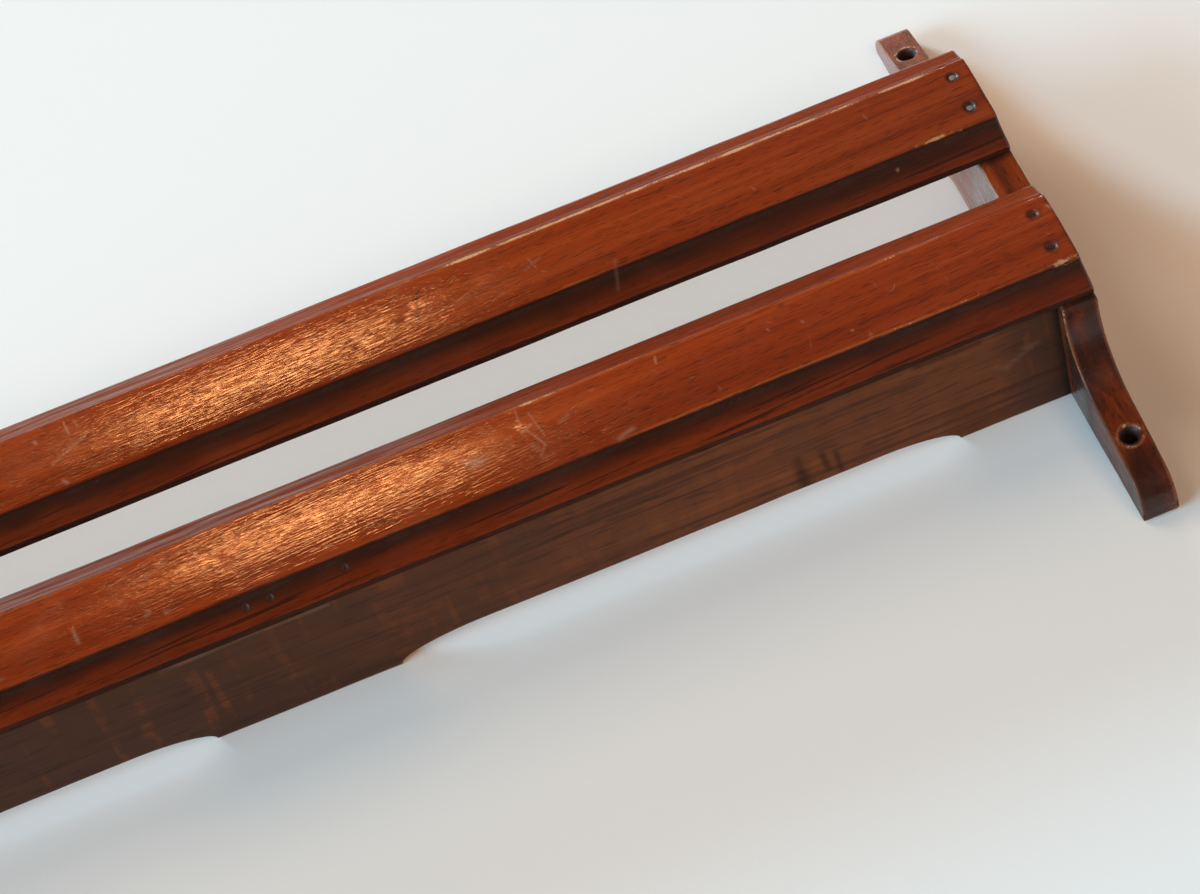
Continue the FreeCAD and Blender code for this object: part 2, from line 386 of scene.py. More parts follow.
class NodeSheet:
    """Short ways to place and join shader nodes in one tree."""

    def __init__(self, tree: bpy.types.NodeTree) -> None:
        """Starts on an empty tree."""
        self.tree = tree
        tree.nodes.clear()

    def node(self, kind: str, inputs: dict | None = None, **settings: object) -> bpy.types.Node:
        """A new node.

        Args:
            kind: The node's type.
            inputs: For each input by name or number, a socket to join to it or a value to set on it.
            settings: The node's own settings.

        Returns:
            The node.
        """
        made = self.tree.nodes.new(kind)
        for key, value in settings.items():
            setattr(made, key, value)
        for key, value in (inputs or {}).items():
            self.fill(made.inputs[key], value)
        return made

    def fill(self, socket: Socket, value: object) -> None:
        """Joins another socket to this one, or sets its value.

        Args:
            socket: The input to fill.
            value: The socket to join to it, or the value to set on it.
        """
        if isinstance(value, bpy.types.NodeSocket):
            self.tree.links.new(value, socket)
        else:
            socket.default_value = value

    def group(self, shared: bpy.types.NodeTree, inputs: dict) -> dict[str, Socket]:
        """A shared group placed in this tree with inputs of its own, as its output sockets by name."""
        made = self.node("ShaderNodeGroup", inputs, node_tree=shared)
        return {output.name: output for output in made.outputs}

    def math(self, operation: str, first: object, second: object = 0.0, clamp: bool = False) -> Socket:
        """A sum on one or two numbers."""
        inputs = {0: first, 1: second}
        return self.node("ShaderNodeMath", inputs, operation=operation, use_clamp=clamp).outputs[0]

    def times(self, first: object, second: object) -> Socket:
        """One number times another."""
        return self.math("MULTIPLY", first, second)

    def plus(self, first: object, second: object) -> Socket:
        """One number plus another."""
        return self.math("ADD", first, second)

    def most(self, first: object, second: object) -> Socket:
        """The larger of two numbers."""
        return self.math("MAXIMUM", first, second)

    def band(self, value: Socket, low: float, high: float, start: float = 0.0, end: float = 1.0) -> Socket:
        """A smooth step that goes from start to end as the value goes from low to high."""
        inputs = {"Value": value, 1: low, 2: high, 3: start, 4: end}
        return self.node("ShaderNodeMapRange", inputs, interpolation_type="SMOOTHSTEP").outputs[0]

    def mix(self, factor: object, first: object, second: object) -> Socket:
        """A colour between two colours.

        Args:
            factor: How far to go from the first colour to the second.
            first: A colour, or a socket that gives one.
            second: A colour, or a socket that gives one.

        Returns:
            The colour socket.
        """
        filled = [(*part, 1.0) if isinstance(part, tuple) else part for part in (first, second)]
        inputs = {0: factor, 6: filled[0], 7: filled[1]}
        return self.node("ShaderNodeMix", inputs, data_type="RGBA", clamp_factor=True).outputs[2]

    def stretched(self, vector: Socket, along: object, across: object) -> Socket:
        """Coordinates scaled by one number along the grain and another across it."""
        scale = self.node("ShaderNodeCombineXYZ", {0: along, 1: across, 2: across}).outputs[0]
        return self.node("ShaderNodeVectorMath", {0: vector, 1: scale}, operation="MULTIPLY").outputs[0]

    def noise(self, vector: Socket, scale: object = 1.0, detail: float = 2.0, rough: float = 0.5,
              twist: float = 0.0) -> Socket:
        """Smooth noise from 0 to 1."""
        return self.node("ShaderNodeTexNoise", {"Vector": vector, "Scale": scale, "Detail": detail,
                                                "Roughness": rough, "Distortion": twist}).outputs[0]

    def attribute(self, kind: Mark) -> Socket:
        """A number kept on the mesh's points."""
        return self.node("ShaderNodeAttribute", attribute_name=kind.value).outputs["Fac"]


def new_material(name: str) -> tuple[bpy.types.Material, NodeSheet]:
    """An empty material.

    Args:
        name: The material's name.

    Returns:
        The material and a sheet to fill it with.
    """
    made = bpy.data.materials.new(name)
    made.use_nodes = True
    return made, NodeSheet(made.node_tree)


def new_group(name: str, inputs: Sequence[str],
              outputs: Sequence[str]) -> tuple[bpy.types.NodeTree, NodeSheet, dict[str, Socket]]:
    """An empty node group with named sockets.

    Args:
        name: The group's name.
        inputs: Its inputs. The one called Vector takes coordinates and the rest take numbers.
        outputs: Its outputs, all of them numbers.

    Returns:
        The group, a sheet to fill it with and the sockets of its inputs by name.
    """
    group = bpy.data.node_groups.new(name, "ShaderNodeTree")
    for title in inputs:
        kind = "NodeSocketVector" if title == "Vector" else "NodeSocketFloat"
        group.interface.new_socket(title, in_out="INPUT", socket_type=kind)
    for title in outputs:
        group.interface.new_socket(title, in_out="OUTPUT", socket_type="NodeSocketFloat")
    sheet = NodeSheet(group)
    given = sheet.node("NodeGroupInput").outputs
    return group, sheet, {title: given[title] for title in inputs}


def open_grain_group() -> bpy.types.NodeTree:
    """Wood grain along the first coordinate.

    Pores are thin dark dashes, streaks are long bands of lighter and darker wood, lines are thin dark
    figure lines, fibre is a fine long texture, grooves are the sunken grain under an old varnish and
    crackle is its lumpy skin. Each is noise stretched along the grain.

    Returns:
        The group.
    """
    group, sheet, given = new_group(
        "open_grain", ("Vector", "Pores Along", "Pores Across", "Streaks Across"),
        ("Pores", "Streaks", "Lines", "Fibre", "Grooves", "Crackle"))
    vector, along, across, bands = given.values()
    streaks = sheet.noise(sheet.stretched(vector, sheet.times(along, 0.02), bands),
                          detail=3.0, rough=0.55, twist=0.3)
    dashes = sheet.noise(sheet.stretched(vector, along, across), detail=1.0, rough=0.4)
    pores = sheet.band(sheet.plus(dashes, sheet.times(streaks, -0.16)), 0.50, 0.60)
    narrow = sheet.stretched(vector, sheet.times(along, 0.09), sheet.times(bands, 5.0))
    lines = sheet.band(sheet.noise(narrow, detail=2.0, rough=0.55, twist=0.4), 0.52, 0.66)
    fine = sheet.stretched(vector, sheet.times(along, 0.35), sheet.times(across, 1.4))
    fibre = sheet.noise(fine, detail=3.0, rough=0.6)
    sunken = sheet.stretched(vector, sheet.times(along, 0.36), sheet.times(across, 0.80))
    grooves = sheet.noise(sunken, detail=1.0, rough=0.5)
    lumps = sheet.stretched(vector, sheet.times(along, 1.2), sheet.times(across, 0.85))
    crackle = sheet.noise(lumps, detail=1.0, rough=0.5)
    sheet.node("NodeGroupOutput", {"Pores": pores, "Streaks": streaks, "Lines": lines, "Fibre": fibre,
                                    "Grooves": grooves, "Crackle": crackle})
    return group


def worn_edge_group() -> bpy.types.NodeTree:
    """Where a finish is rubbed through: the marked wear, roughened by two sizes of noise, past a limit.

    Returns:
        The group.
    """
    group, sheet, given = new_group("worn_edge", ("Vector", "Wear", "Chip Size", "Limit"), ("Worn",))
    vector, wear, size, limit = given.values()
    chips = sheet.noise(vector, sheet.math("DIVIDE", 1.0, size), detail=3.0, rough=0.65)
    runs = sheet.noise(vector, sheet.math("DIVIDE", 0.09, size), detail=2.0)
    ragged = sheet.plus(sheet.times(sheet.math("SUBTRACT", chips, 0.5), 0.9),
                        sheet.times(sheet.math("SUBTRACT", runs, 0.5), 1.1))
    total = sheet.plus(wear, sheet.times(ragged, sheet.band(wear, 0.02, 0.4)))
    worn = sheet.band(sheet.math("SUBTRACT", total, limit), -0.06, 0.08)
    sheet.node("NodeGroupOutput", {"Worn": worn})
    return group


def old_grime_group() -> bpy.types.NodeTree:
    """Dirt in corners, and on the rails' coves also painted shade, thick where two sizes of noise are high,
    and a cloudy film over the rest.

    Returns:
        The group.
    """
    group, sheet, given = new_group("old_grime", ("Vector", "Corner", "Cloud Size"), ("Dirt", "Film"))
    vector, corner, size = given.values()
    clouds = sheet.noise(vector, sheet.math("DIVIDE", 1.0, size), detail=4.0, rough=0.6, twist=0.4)
    specks = sheet.noise(vector, sheet.math("DIVIDE", 9.0, size), detail=2.0)
    thick = sheet.plus(sheet.times(clouds, 0.7), sheet.times(specks, 0.5))
    dirt = sheet.times(corner, sheet.band(thick, 0.25, 0.75, 0.55, 1.0))
    sheet.node("NodeGroupOutput", {"Dirt": dirt, "Film": sheet.band(clouds, 0.42, 0.70)})
    return group


def hairline_group() -> bpy.types.NodeTree:
    """Short hairline scratches: the places where a slow noise passes its middle, kept in a few patches.

    Returns:
        The group.
    """
    group, sheet, given = new_group("hairlines", ("Vector", "Scale"), ("Scratches",))
    vector, scale = given.values()
    slow = sheet.noise(vector, scale, detail=0.0)
    middle = sheet.math("ABSOLUTE", sheet.math("SUBTRACT", slow, 0.5))
    patches = sheet.noise(vector, sheet.times(scale, 2.3), detail=1.0)
    scratches = sheet.times(sheet.band(middle, 0.002, 0.008, 1.0, 0.0), sheet.band(patches, 0.56, 0.68))
    sheet.node("NodeGroupOutput", {"Scratches": scratches})
    return group


@dataclass(frozen=True)
class WoodFinish:
    """An old varnished wood. Colours are linear, and scales are in metres or in marks per metre."""

    name: str
    light: Colour
    middle: Colour
    dark: Colour
    pore: Colour
    bare: Colour
    # dirt is also the colour of painted shade in the rails' coves.
    dirt: Colour
    # film is also the colour of the painted sheen that the haze mark lays on rails and brackets.
    film: Colour
    # deep is also the colour of painted shade below the rails' lower ridges.
    deep: Colour
    thin: Colour
    scratch: Colour = (0.36, 0.19, 0.12)
    grain_turn: Place = (0.0, 0.0, 0.0)
    pores_along: float = 170.0
    pores_across: float = 1900.0
    streaks_across: float = 110.0
    pore_share: float = 0.6
    line_share: float = 0.5
    ink_share: float = 0.0
    stripe_share: float = 0.0
    stripes_along: float = 140.0
    stripes_across: float = 7.0
    stripe_gap: float = 0.0
    gap_scale: float = 95.0
    scratch_share: float = 0.25
    scratch_scale: float = 55.0
    film_share: float = 0.1
    cloud_size: float = 0.03
    chip_size: float = 0.0016
    wear_limit: float = 0.62
    smooth: float = 0.30
    dull: float = 0.48
    coat: float = 0.6
    coat_roughness: float = 0.16
    body_gloss: float = 0.25
    relief: float = 0.00012

    def colour(self, sheet: NodeSheet, marks: dict[str, Socket]) -> Socket:
        """The colour of the surface: streaks, stripes, pores, dark varnish with painted shade, film with
        painted sheen, dirt with painted shade and scratches, then bare wood.

        Args:
            sheet: The material's nodes.
            marks: The pattern sockets by name.

        Returns:
            The colour socket.
        """
        streaky = sheet.mix(sheet.band(marks["Streaks"], 0.30, 0.52), self.dark, self.middle)
        streaky = sheet.mix(sheet.band(marks["Streaks"], 0.48, 0.72), streaky, self.light)
        fibrous = sheet.mix(sheet.band(marks["Fibre"], 0.35, 0.75, 0.22, 0.0), streaky, self.dark)
        striped = sheet.mix(sheet.times(marks["Stripes"], self.stripe_share), fibrous, self.dark)
        lined = sheet.mix(sheet.times(marks["Lines"], self.line_share), striped, self.dark)
        # Dark varnish, and painted shade below the rails' lower ridges.
        pooled_and_shaded = sheet.mix(marks["Deep"], lined, self.deep)
        thinned = sheet.mix(sheet.times(marks["Thin"], 0.6), pooled_and_shaded, self.thin)
        porous = sheet.mix(sheet.times(marks["Pores"], self.pore_share), thinned, self.pore)
        # A cloudy film, and the painted sheen of the haze mark.
        film_and_sheen_share = sheet.most(sheet.times(marks["Film"], self.film_share), marks["Haze"])
        filmed = sheet.mix(film_and_sheen_share, porous, self.film)
        dirty = sheet.mix(marks["Dirt"], filmed, self.dirt)
        scratched = sheet.mix(marks["Scratches"], dirty, self.scratch)
        return sheet.mix(marks["Worn"], scratched, self.bare)

    def pooled_and_shaded(self, sheet: NodeSheet, pool_and_shade: Socket, lines: Socket) -> Socket:
        """How much dark varnish and painted shade shows: more in the figure lines, and nearly all of it
        where the mark is high, as in thick varnish and deep painted shade.

        Args:
            sheet: The material's nodes.
            pool_and_shade: The share of pooled varnish and painted shade that the mesh keeps.
            lines: The figure lines of the grain.

        Returns:
            The share of dark varnish and painted shade.
        """
        lined = sheet.times(pool_and_shade, sheet.band(lines, 0.0, 1.0, 0.55, 1.0))
        thick = sheet.most(lined, sheet.band(pool_and_shade, 0.30, 1.0, 0.0, 0.96))
        return sheet.most(thick, sheet.times(lines, sheet.band(pool_and_shade, 0.35, 0.65, 0.0, self.ink_share)))

    def patterns(self, sheet: NodeSheet, groups: dict[str, bpy.types.NodeTree]) -> dict[str, Socket]:
        """The grain, varnish, wear and dirt of the surface, with its painted shade and painted sheen, from
        the shared groups and the mesh's marks.

        Args:
            sheet: The material's nodes.
            groups: The shared node groups by name.

        Returns:
            The pattern sockets by name.
        """
        plain = sheet.node("ShaderNodeTexCoord").outputs["Object"]
        turned = sheet.node("ShaderNodeMapping", {"Vector": plain, "Rotation": self.grain_turn}).outputs[0]
        rubbing, pool_and_shade = sheet.attribute(Mark.WEAR), sheet.attribute(Mark.DEEP)
        grain = sheet.group(groups["open_grain"], {
            "Vector": turned, "Pores Along": self.pores_along, "Pores Across": self.pores_across,
            "Streaks Across": self.streaks_across})
        edge = sheet.group(groups["worn_edge"], {
            "Vector": plain, "Wear": rubbing, "Chip Size": self.chip_size, "Limit": self.wear_limit})
        grime = sheet.group(groups["old_grime"], {
            "Vector": plain, "Corner": sheet.attribute(Mark.CORNER), "Cloud Size": self.cloud_size})
        hairlines = sheet.group(groups["hairlines"], {"Vector": plain, "Scale": self.scratch_scale})
        across = sheet.stretched(turned, self.stripes_along, self.stripes_across)
        ripple = sheet.noise(across, detail=1.0, twist=0.25)
        broken = sheet.band(sheet.noise(plain, self.gap_scale, detail=3.0, rough=0.6), 0.40, 0.60)
        gaps = sheet.times(sheet.band(ripple, 0.53, 0.64, 0.0, self.stripe_gap), broken)
        whole = sheet.math("SUBTRACT", 1.0, gaps)
        streaked = sheet.band(grain["Fibre"], 0.35, 0.65, 0.35, 1.0)
        faint = sheet.times(hairlines["Scratches"], sheet.band(pool_and_shade, 0.0, 0.3, self.scratch_share, 0.0))
        return grain | edge | grime | {
            "Stripes": sheet.band(ripple, 0.42, 0.62),
            # Dark varnish, and painted shade below the rails' lower ridges.
            "Deep": sheet.times(self.pooled_and_shaded(sheet, pool_and_shade, grain["Lines"]), whole),
            # Haze, and painted sheen along the grain.
            "Haze": sheet.times(sheet.attribute(Mark.HAZE), streaked),
            "Thin": sheet.band(rubbing, 0.10, 0.50),
            "Scratches": sheet.most(faint, sheet.attribute(Mark.SCRATCH))}

    @staticmethod
    def height(sheet: NodeSheet, marks: dict[str, Socket]) -> Socket:
        """The height of the surface: a weighted sum of skin, grain, pores and worn spots, low where calm.

        Args:
            sheet: The material's nodes.
            marks: The pattern sockets by name.

        Returns:
            The height socket.
        """
        total = sheet.times(marks["Crackle"], 0.35)
        for title, share in (("Grooves", 0.50), ("Pores", -0.10), ("Fibre", 0.08), ("Worn", -0.60)):
            total = sheet.plus(total, sheet.times(marks[title], share))
        return sheet.times(total, sheet.band(sheet.attribute(Mark.CALM), 0.0, 1.0, 1.0, 0.2))

    def material(self, groups: dict[str, bpy.types.NodeTree]) -> bpy.types.Material:
        """The finish as a material.

        Args:
            groups: The shared node groups by name.

        Returns:
            The material.
        """
        made, sheet = new_material(self.name)
        marks = self.patterns(sheet, groups)
        matt = sheet.most(marks["Worn"], sheet.times(marks["Dirt"], 0.8))
        clouded = sheet.most(marks["Film"], sheet.times(marks["Lines"], 0.8))
        rough = sheet.band(clouded, 0.0, 1.0, self.smooth, self.dull)
        rough = sheet.math("ADD", rough, sheet.times(matt, 0.45), clamp=True)
        coat = sheet.band(matt, 0.1, 0.9, self.coat, 0.0) if self.coat else 0.0
        bump = sheet.node("ShaderNodeBump", {
            "Height": self.height(sheet, marks), "Distance": self.relief, "Strength": 1.0})
        shader = sheet.node("ShaderNodeBsdfPrincipled", {
            "Base Color": self.colour(sheet, marks), "Roughness": rough, "Coat Weight": coat,
            "Coat Roughness": self.coat_roughness, "Specular IOR Level": self.body_gloss,
            "Normal": bump.outputs[0]})
        sheet.node("ShaderNodeOutputMaterial", {"Surface": shader.outputs[0]})
        return made


@dataclass(frozen=True)
class IronFinish:
    """Dark oxidised iron with a worn glint."""

    name: str = "oxidised_iron"
    rust: Colour = (0.055, 0.045, 0.039)
    skin: Colour = (0.120, 0.105, 0.095)
    bright: Colour = (0.26, 0.245, 0.225)
    grain: float = 2200.0
    relief: float = 0.00025
    gloss: float = 0.5

    def material(self) -> bpy.types.Material:
        """The finish as a material: bright metal where the dark skin is rubbed off, with rust in patches.

        Returns:
            The material.
        """
        made, sheet = new_material(self.name)
        plain = sheet.node("ShaderNodeTexCoord").outputs["Object"]
        patches = sheet.noise(plain, self.grain * 0.35, detail=3.0, rough=0.6)
        pits = sheet.noise(plain, self.grain, detail=2.0)
        worn = sheet.times(sheet.attribute(Mark.WEAR), 0.35)
        rubbed = sheet.band(sheet.plus(patches, worn), 0.52, 0.72)
        colour = sheet.mix(sheet.band(pits, 0.4, 0.65), self.skin, self.rust)
        colour = sheet.mix(rubbed, colour, self.bright)
        bump = sheet.node("ShaderNodeBump", {"Height": pits, "Distance": self.relief})
        shader = sheet.node("ShaderNodeBsdfPrincipled", {
            "Base Color": colour, "Metallic": sheet.band(rubbed, 0.0, 1.0, 0.05, 0.35),
            "Roughness": sheet.band(pits, 0.3, 0.7, 0.50, 0.75), "Normal": bump.outputs[0],
            "Specular IOR Level": self.gloss})
        sheet.node("ShaderNodeOutputMaterial", {"Surface": shader.outputs[0]})
        return made


VARNISHED_IRON = IronFinish(
    name="varnished_iron", rust=(0.018, 0.010, 0.008), skin=(0.038, 0.016, 0.011),
    bright=(0.075, 0.042, 0.030), gloss=0.12)

# The rails' varnish: deep also paints the shade below the lower ridge, and film the sheen on the upper
# strip.
RAIL_FINISH = WoodFinish(
    name="rail_varnish",
    light=(0.330, 0.050, 0.0095), middle=(0.252, 0.032, 0.0055), dark=(0.185, 0.0220, 0.0045),
    pore=(0.060, 0.012, 0.005), bare=(0.50, 0.24, 0.105), dirt=(0.018, 0.008, 0.006),
    film=(0.26, 0.165, 0.150), deep=(0.024, 0.008, 0.005), thin=(0.42, 0.105, 0.022),
    grain_turn=(0.0, math.radians(2.5), 0.0), pores_across=1800.0, ink_share=0.92, film_share=0.02,
    chip_size=0.0008, smooth=0.11, dull=0.16, coat=0.0, body_gloss=0.5, relief=0.00023)

# A darker copy of the rails' varnish for their undersides: grime, and painted shade on the faces that look
# down.
RAIL_UNDERSIDE_SHADE_FINISH = replace(
    RAIL_FINISH, name="rail_edge_grime", light=(0.110, 0.030, 0.012), middle=(0.072, 0.021, 0.009),
    dark=(0.038, 0.013, 0.007), pore=(0.006, 0.004, 0.005), thin=(0.050, 0.020, 0.012),
    smooth=0.60, dull=0.80, body_gloss=0.04)

RAIL_FOOT_FINISH = replace(RAIL_FINISH, name="rail_foot_grime", smooth=0.50, dull=0.60, body_gloss=0.05)

BRACKET_FINISH = WoodFinish(
    name="bracket_varnish",
    light=(0.335, 0.060, 0.0120), middle=(0.215, 0.031, 0.0075), dark=(0.100, 0.0165, 0.0055),
    pore=(0.022, 0.008, 0.005), bare=(0.46, 0.31, 0.20), dirt=(0.009, 0.006, 0.005),
    film=(0.20, 0.170, 0.156), deep=(0.034, 0.010, 0.006), thin=(0.30, 0.09, 0.035),
    grain_turn=(0.0, math.pi / 2, 0.0), pores_across=1500.0, streaks_across=170.0, pore_share=0.5,
    film_share=0.05, wear_limit=0.72, smooth=0.26, dull=0.42, coat=0.1, coat_roughness=0.14, body_gloss=0.3)

SHELF_FINISH = WoodFinish(
    name="shelf_varnish",
    light=(0.305, 0.085, 0.019), middle=(0.205, 0.054, 0.0135), dark=(0.098, 0.027, 0.0098),
    pore=(0.020, 0.012, 0.009), bare=(0.40, 0.27, 0.16), dirt=(0.015, 0.010, 0.008),
    film=(0.085, 0.036, 0.018), deep=(0.060, 0.0245, 0.0140), thin=(0.34, 0.16, 0.07),
    pores_along=62.0, pores_across=480.0, streaks_across=75.0, pore_share=0.40, line_share=0.8,
    stripe_share=0.25, stripe_gap=0.62, film_share=0.40, smooth=0.50, dull=0.66, coat=0.0,
    body_gloss=0.10, relief=0.00014)


# Pieces


class RackPiece(ABC):
    """A piece of the rack, which is one mesh and stands for the CAD node of its name."""

    name: str
    slot: ClassVar[Slot]

    @abstractmethod
    def build(self) -> bpy.types.Mesh:
        """The piece's mesh, with its place in its points."""

    def dress(self, *finishes: bpy.types.Material) -> bpy.types.Object:
        """Builds the piece and puts it into the scene in place of its CAD node.

        Args:
            finishes: The materials of the mesh, the main one first.

        Returns:
            The piece.
        """
        mesh = self.build()
        piece = bpy.data.objects.new(self.name + "_dressed", mesh)
        bpy.context.collection.objects.link(piece)
        mesh.materials.clear()
        for finish in finishes:
            mesh.materials.append(finish)
        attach(piece, "root")
        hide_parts(self.name)
        LOG.info("%s: %d points, %d faces", piece.name, len(mesh.vertices), len(mesh.polygons))
        return piece


@dataclass(frozen=True)
class Nick:
    """A chip knocked out of a ridge of a rail, placed along X."""

    x: float
    ridge: Ridge
    length: float
    width: float
    depth: float


@dataclass(frozen=True)
class Scuff:
    """A scratch, smear or stain on a face, drawn from one place to another as (x, distance across)."""

    start: tuple[float, float]
    end: tuple[float, float]
    width: float
    strength: float
    kind: Mark = Mark.SCRATCH

    def share(self, x: np.ndarray, across: np.ndarray) -> np.ndarray:
        """How strongly each point is marked: a bell of its distance from the scuff's line.

        Args:
            x: Places along the piece.
            across: Distances across it.

        Returns:
            The mark's strength at each point.
        """
        line = np.subtract(self.end, self.start)
        along = (x - self.start[0]) * line[0] + (across - self.start[1]) * line[1]
        place = np.clip(along / (line @ line), 0, 1)
        off = np.hypot(x - self.start[0] - place * line[0], across - self.start[1] - place * line[1])
        return self.strength * bell(off, self.width)

    def spacing(self, x: np.ndarray) -> np.ndarray:
        """The distance apart that points need along the piece to show this scuff."""
        middle, half = (self.start[0] + self.end[0]) / 2, abs(self.start[0] - self.end[0]) / 2
        return 0.75 * self.width + 1.9 * step_between(np.abs(x - middle) - half - 2 * self.width, 0, 12)


@dataclass
class MouldedRail(RackPiece):
    """A rail with a crowned face between two ridges, each with a cove and a sloping strip beside it."""

    slot: ClassVar[Slot] = Slot.RAIL
    name: str
    seed: int
    fasteners: Sequence[str]
    nicks: Sequence[Nick]
    rubbed: Sequence[tuple[Ridge, float, float]]
    scuffs: Sequence[Scuff]
    # Share of dark colour by drop below the lower ridge: pooled varnish and painted shade of the strip.
    pool_and_shade_shares: Sequence[float]
    # Painted sheen along the foot of the upper ridge.
    foot_sheen: float
    end_dim: float
    pit_depth: float
    pit_dirt: float
    pit_share: float = 1.30
    brad_pit_depth: float = 0.34
    brad_pit_share: float = 1.05
    # Drops below the lower ridge, in millimetres, for the shares of dark varnish and painted shade.
    pool_and_shade_drops: Sequence[float] = (0.0, 1.1, 2.5, 3.7, 4.7, 5.7, 6.7, 7.7, 8.7, 9.7, 10.7, 11.3)
    back_dark: float = 0.85
    dim_range: tuple[float, float] = (205.0, 275.0)
    sheen_range: tuple[float, float] = (-40.0, 150.0)
    # Where the painted sheen on the upper strip fades out along the rail.
    dust_range: tuple[float, float] = (110.0, 270.0)
    nick_wear: float = 0.78
    strip_width: float = 7.6
    cove_width: float = 3.7
    crown_rise: float = 1.05
    ridge_thickness: float = 9.3
    strip_thickness: float = 6.2
    edge_thickness: float = 3.3
    crisp_reach: float = 0.28
    worn_reach: float = 0.85
    end_round: float = 1.1
    end_mark_share: float = 0.6
    foot_band: tuple[float, float] = (0.2, 3.4)
    dent_count: int = 26
    dent_depth: float = 0.14
    dent_sizes: tuple[float, float] = (1.2, 3.0)
    dent_margin: float = 20.0
    unevenness: float = 0.05
    cove_steps: int = 60
    crown_steps: int = 200
    face_spacing: float = 0.76
    back_spacing: float = 5.0
    end_spacing: float = 0.36
    end_range: tuple[float, float] = (11.0, 30.0)
    spacing_gain: float = 1.80
    tip_gain: float = 0.22
    brad_spacing: float = 0.42
    brad_range: tuple[float, float] = (2.2, 12.0)

    def __post_init__(self) -> None:
        """Reads the rail's place from the frame."""
        self.low, self.high = node_box(self.name)
        self.middle_z = (self.low[2] + self.high[2]) / 2
        self.half_width = (self.high[2] - self.low[2]) / 2
        self.ridge_distance = self.half_width - self.strip_width - self.cove_width
        self.marks: dict[Mark, np.ndarray] = {}

    def section(self, count: int = 4096) -> np.ndarray:
        """The moulding as a closed path of (distance from the middle, thickness).

        The crown is a circle's arc. The cove is a curve that leaves the ridge steeply and runs into the
        strip with no corner: the weighted mean of its two ends and the point where its end directions meet.

        Args:
            count: Points on the path, evenly spaced.

        Returns:
            One row for each point, from the middle of the back up over the front and round.
        """
        ridge = np.array([self.ridge_distance, self.ridge_thickness])
        strip = np.array([self.half_width - self.strip_width, self.strip_thickness])
        edge = np.array([self.half_width, self.edge_thickness])
        chord, slope = strip - ridge, edge - strip
        turn = math.atan2(-chord[1], chord[0]) - math.atan2(-slope[1], slope[0])
        reach = np.linalg.norm(chord) / 2 / math.cos(turn)
        bend = strip - slope / np.linalg.norm(slope) * reach
        share = np.linspace(0, 1, self.cove_steps)[:, None]
        cove = strip * (1 - share) ** 2 + 2 * bend * share * (1 - share) + ridge * share**2
        radius = (ridge[0] ** 2 + self.crown_rise**2) / (2 * self.crown_rise)
        over = np.linspace(ridge[0], -ridge[0], self.crown_steps)
        crown = np.stack([over, ridge[1] + self.crown_rise - radius + np.sqrt(radius**2 - over**2)], axis=1)
        half = np.concatenate([[[0, 0], [self.half_width, 0]], edge[None], cove])
        other = half[::-1] * np.array([-1, 1])
        return along_path(np.concatenate([half, crown[1:-1], other]), np.arange(count) / count)

    def ring_places(self, section: np.ndarray) -> np.ndarray:
        """Which points of the section to keep: close together on ridges and coves, far apart on the back.

        Args:
            section: The evenly spaced section.

        Returns:
            Whole numbers of points, in order.
        """
        distance, thickness = np.abs(section[:, 0]), section[:, 1]
        near_edge = bell(distance - self.ridge_distance - 1.0, 2.6) + bell(distance - self.half_width, 1.2)
        wanted = np.where(thickness < 0.05, self.back_spacing, self.face_spacing) / (1 + 1.6 * near_edge)
        step = np.linalg.norm(section[1] - section[0])
        number = np.arange(len(section))
        places = spaced(0, number[-1], lambda at: np.interp(at, number, wanted) / step)
        return np.unique(np.round(places).astype(int))[:-1]

    def from_end(self, x: np.ndarray) -> np.ndarray:
        """The distance of each place from the rail's nearer end."""
        return np.minimum(x - self.low[0], self.high[0] - x)

    def stations(self) -> np.ndarray:
        """Places along the rail: close together at its ends, brads and scuffs, far apart between.

        Returns:
            The places in order.
        """
        brads = [self.fastener_at(name)[0][0] for name in self.fasteners if "brad" in name]

        def spacing(x: np.ndarray) -> np.ndarray:
            """The wanted distance apart.

            Args:
                x: Places along the rail.

            Returns:
                The distance at each place.
            """
            from_end = self.from_end(x)
            wanted = self.end_spacing + self.spacing_gain * step_between(from_end, *self.end_range)
            wanted = wanted - self.tip_gain * bell(from_end, 1.2)
            for brad in brads:
                away = step_between(np.abs(x - brad), *self.brad_range)
                wanted = np.minimum(wanted, self.brad_spacing + 1.6 * away)
            for scuff in self.scuffs:
                wanted = np.minimum(wanted, scuff.spacing(x))
            return wanted

        return spaced(self.low[0], self.high[0], spacing)

    def fastener_at(self, name: str) -> tuple[np.ndarray, float]:
        """Where a nail's head is in the front of the rail, and its radius."""
        low, high = node_box(name)
        return (low + high) / 2, (high[0] - low[0]) / 2

    def build(self) -> bpy.types.Mesh:
        """The rail's surface, with soft arrises, worn ends, nicks and a pit round each nail.

        Each ring is the section, blended between a crisp and a worn copy by a noise along the rail, and
        moved inwards along its normal. The end rings shrink to a pole.

        Returns:
            The mesh, with its ageing marked.
        """
        section = self.section()
        keep = self.ring_places(section)
        crisp, worn = soften(section, self.crisp_reach), soften(section, self.worn_reach)
        tangent = np.roll(worn, -4, axis=0) - np.roll(worn, 4, axis=0)
        tangent = tangent / np.linalg.norm(tangent, axis=1, keepdims=True)
        outward = np.stack([tangent[:, 1], -tangent[:, 0]], axis=1)[keep]
        x = self.stations()[:, None]
        soft = step_between(smooth_noise(x / 23, np.full(len(keep), 0.5), self.seed), 0.25, 0.9)
        soft = np.maximum(soft, bell(self.from_end(x), 14.0))[..., None]
        points = crisp[keep] * (1 - soft) + worn[keep] * soft
        distance, thickness = points[..., 0], points[..., 1]
        self.set_marks(x, distance, thickness)
        return self.mesh(x, points - self.insets(x, distance, thickness)[..., None] * outward)

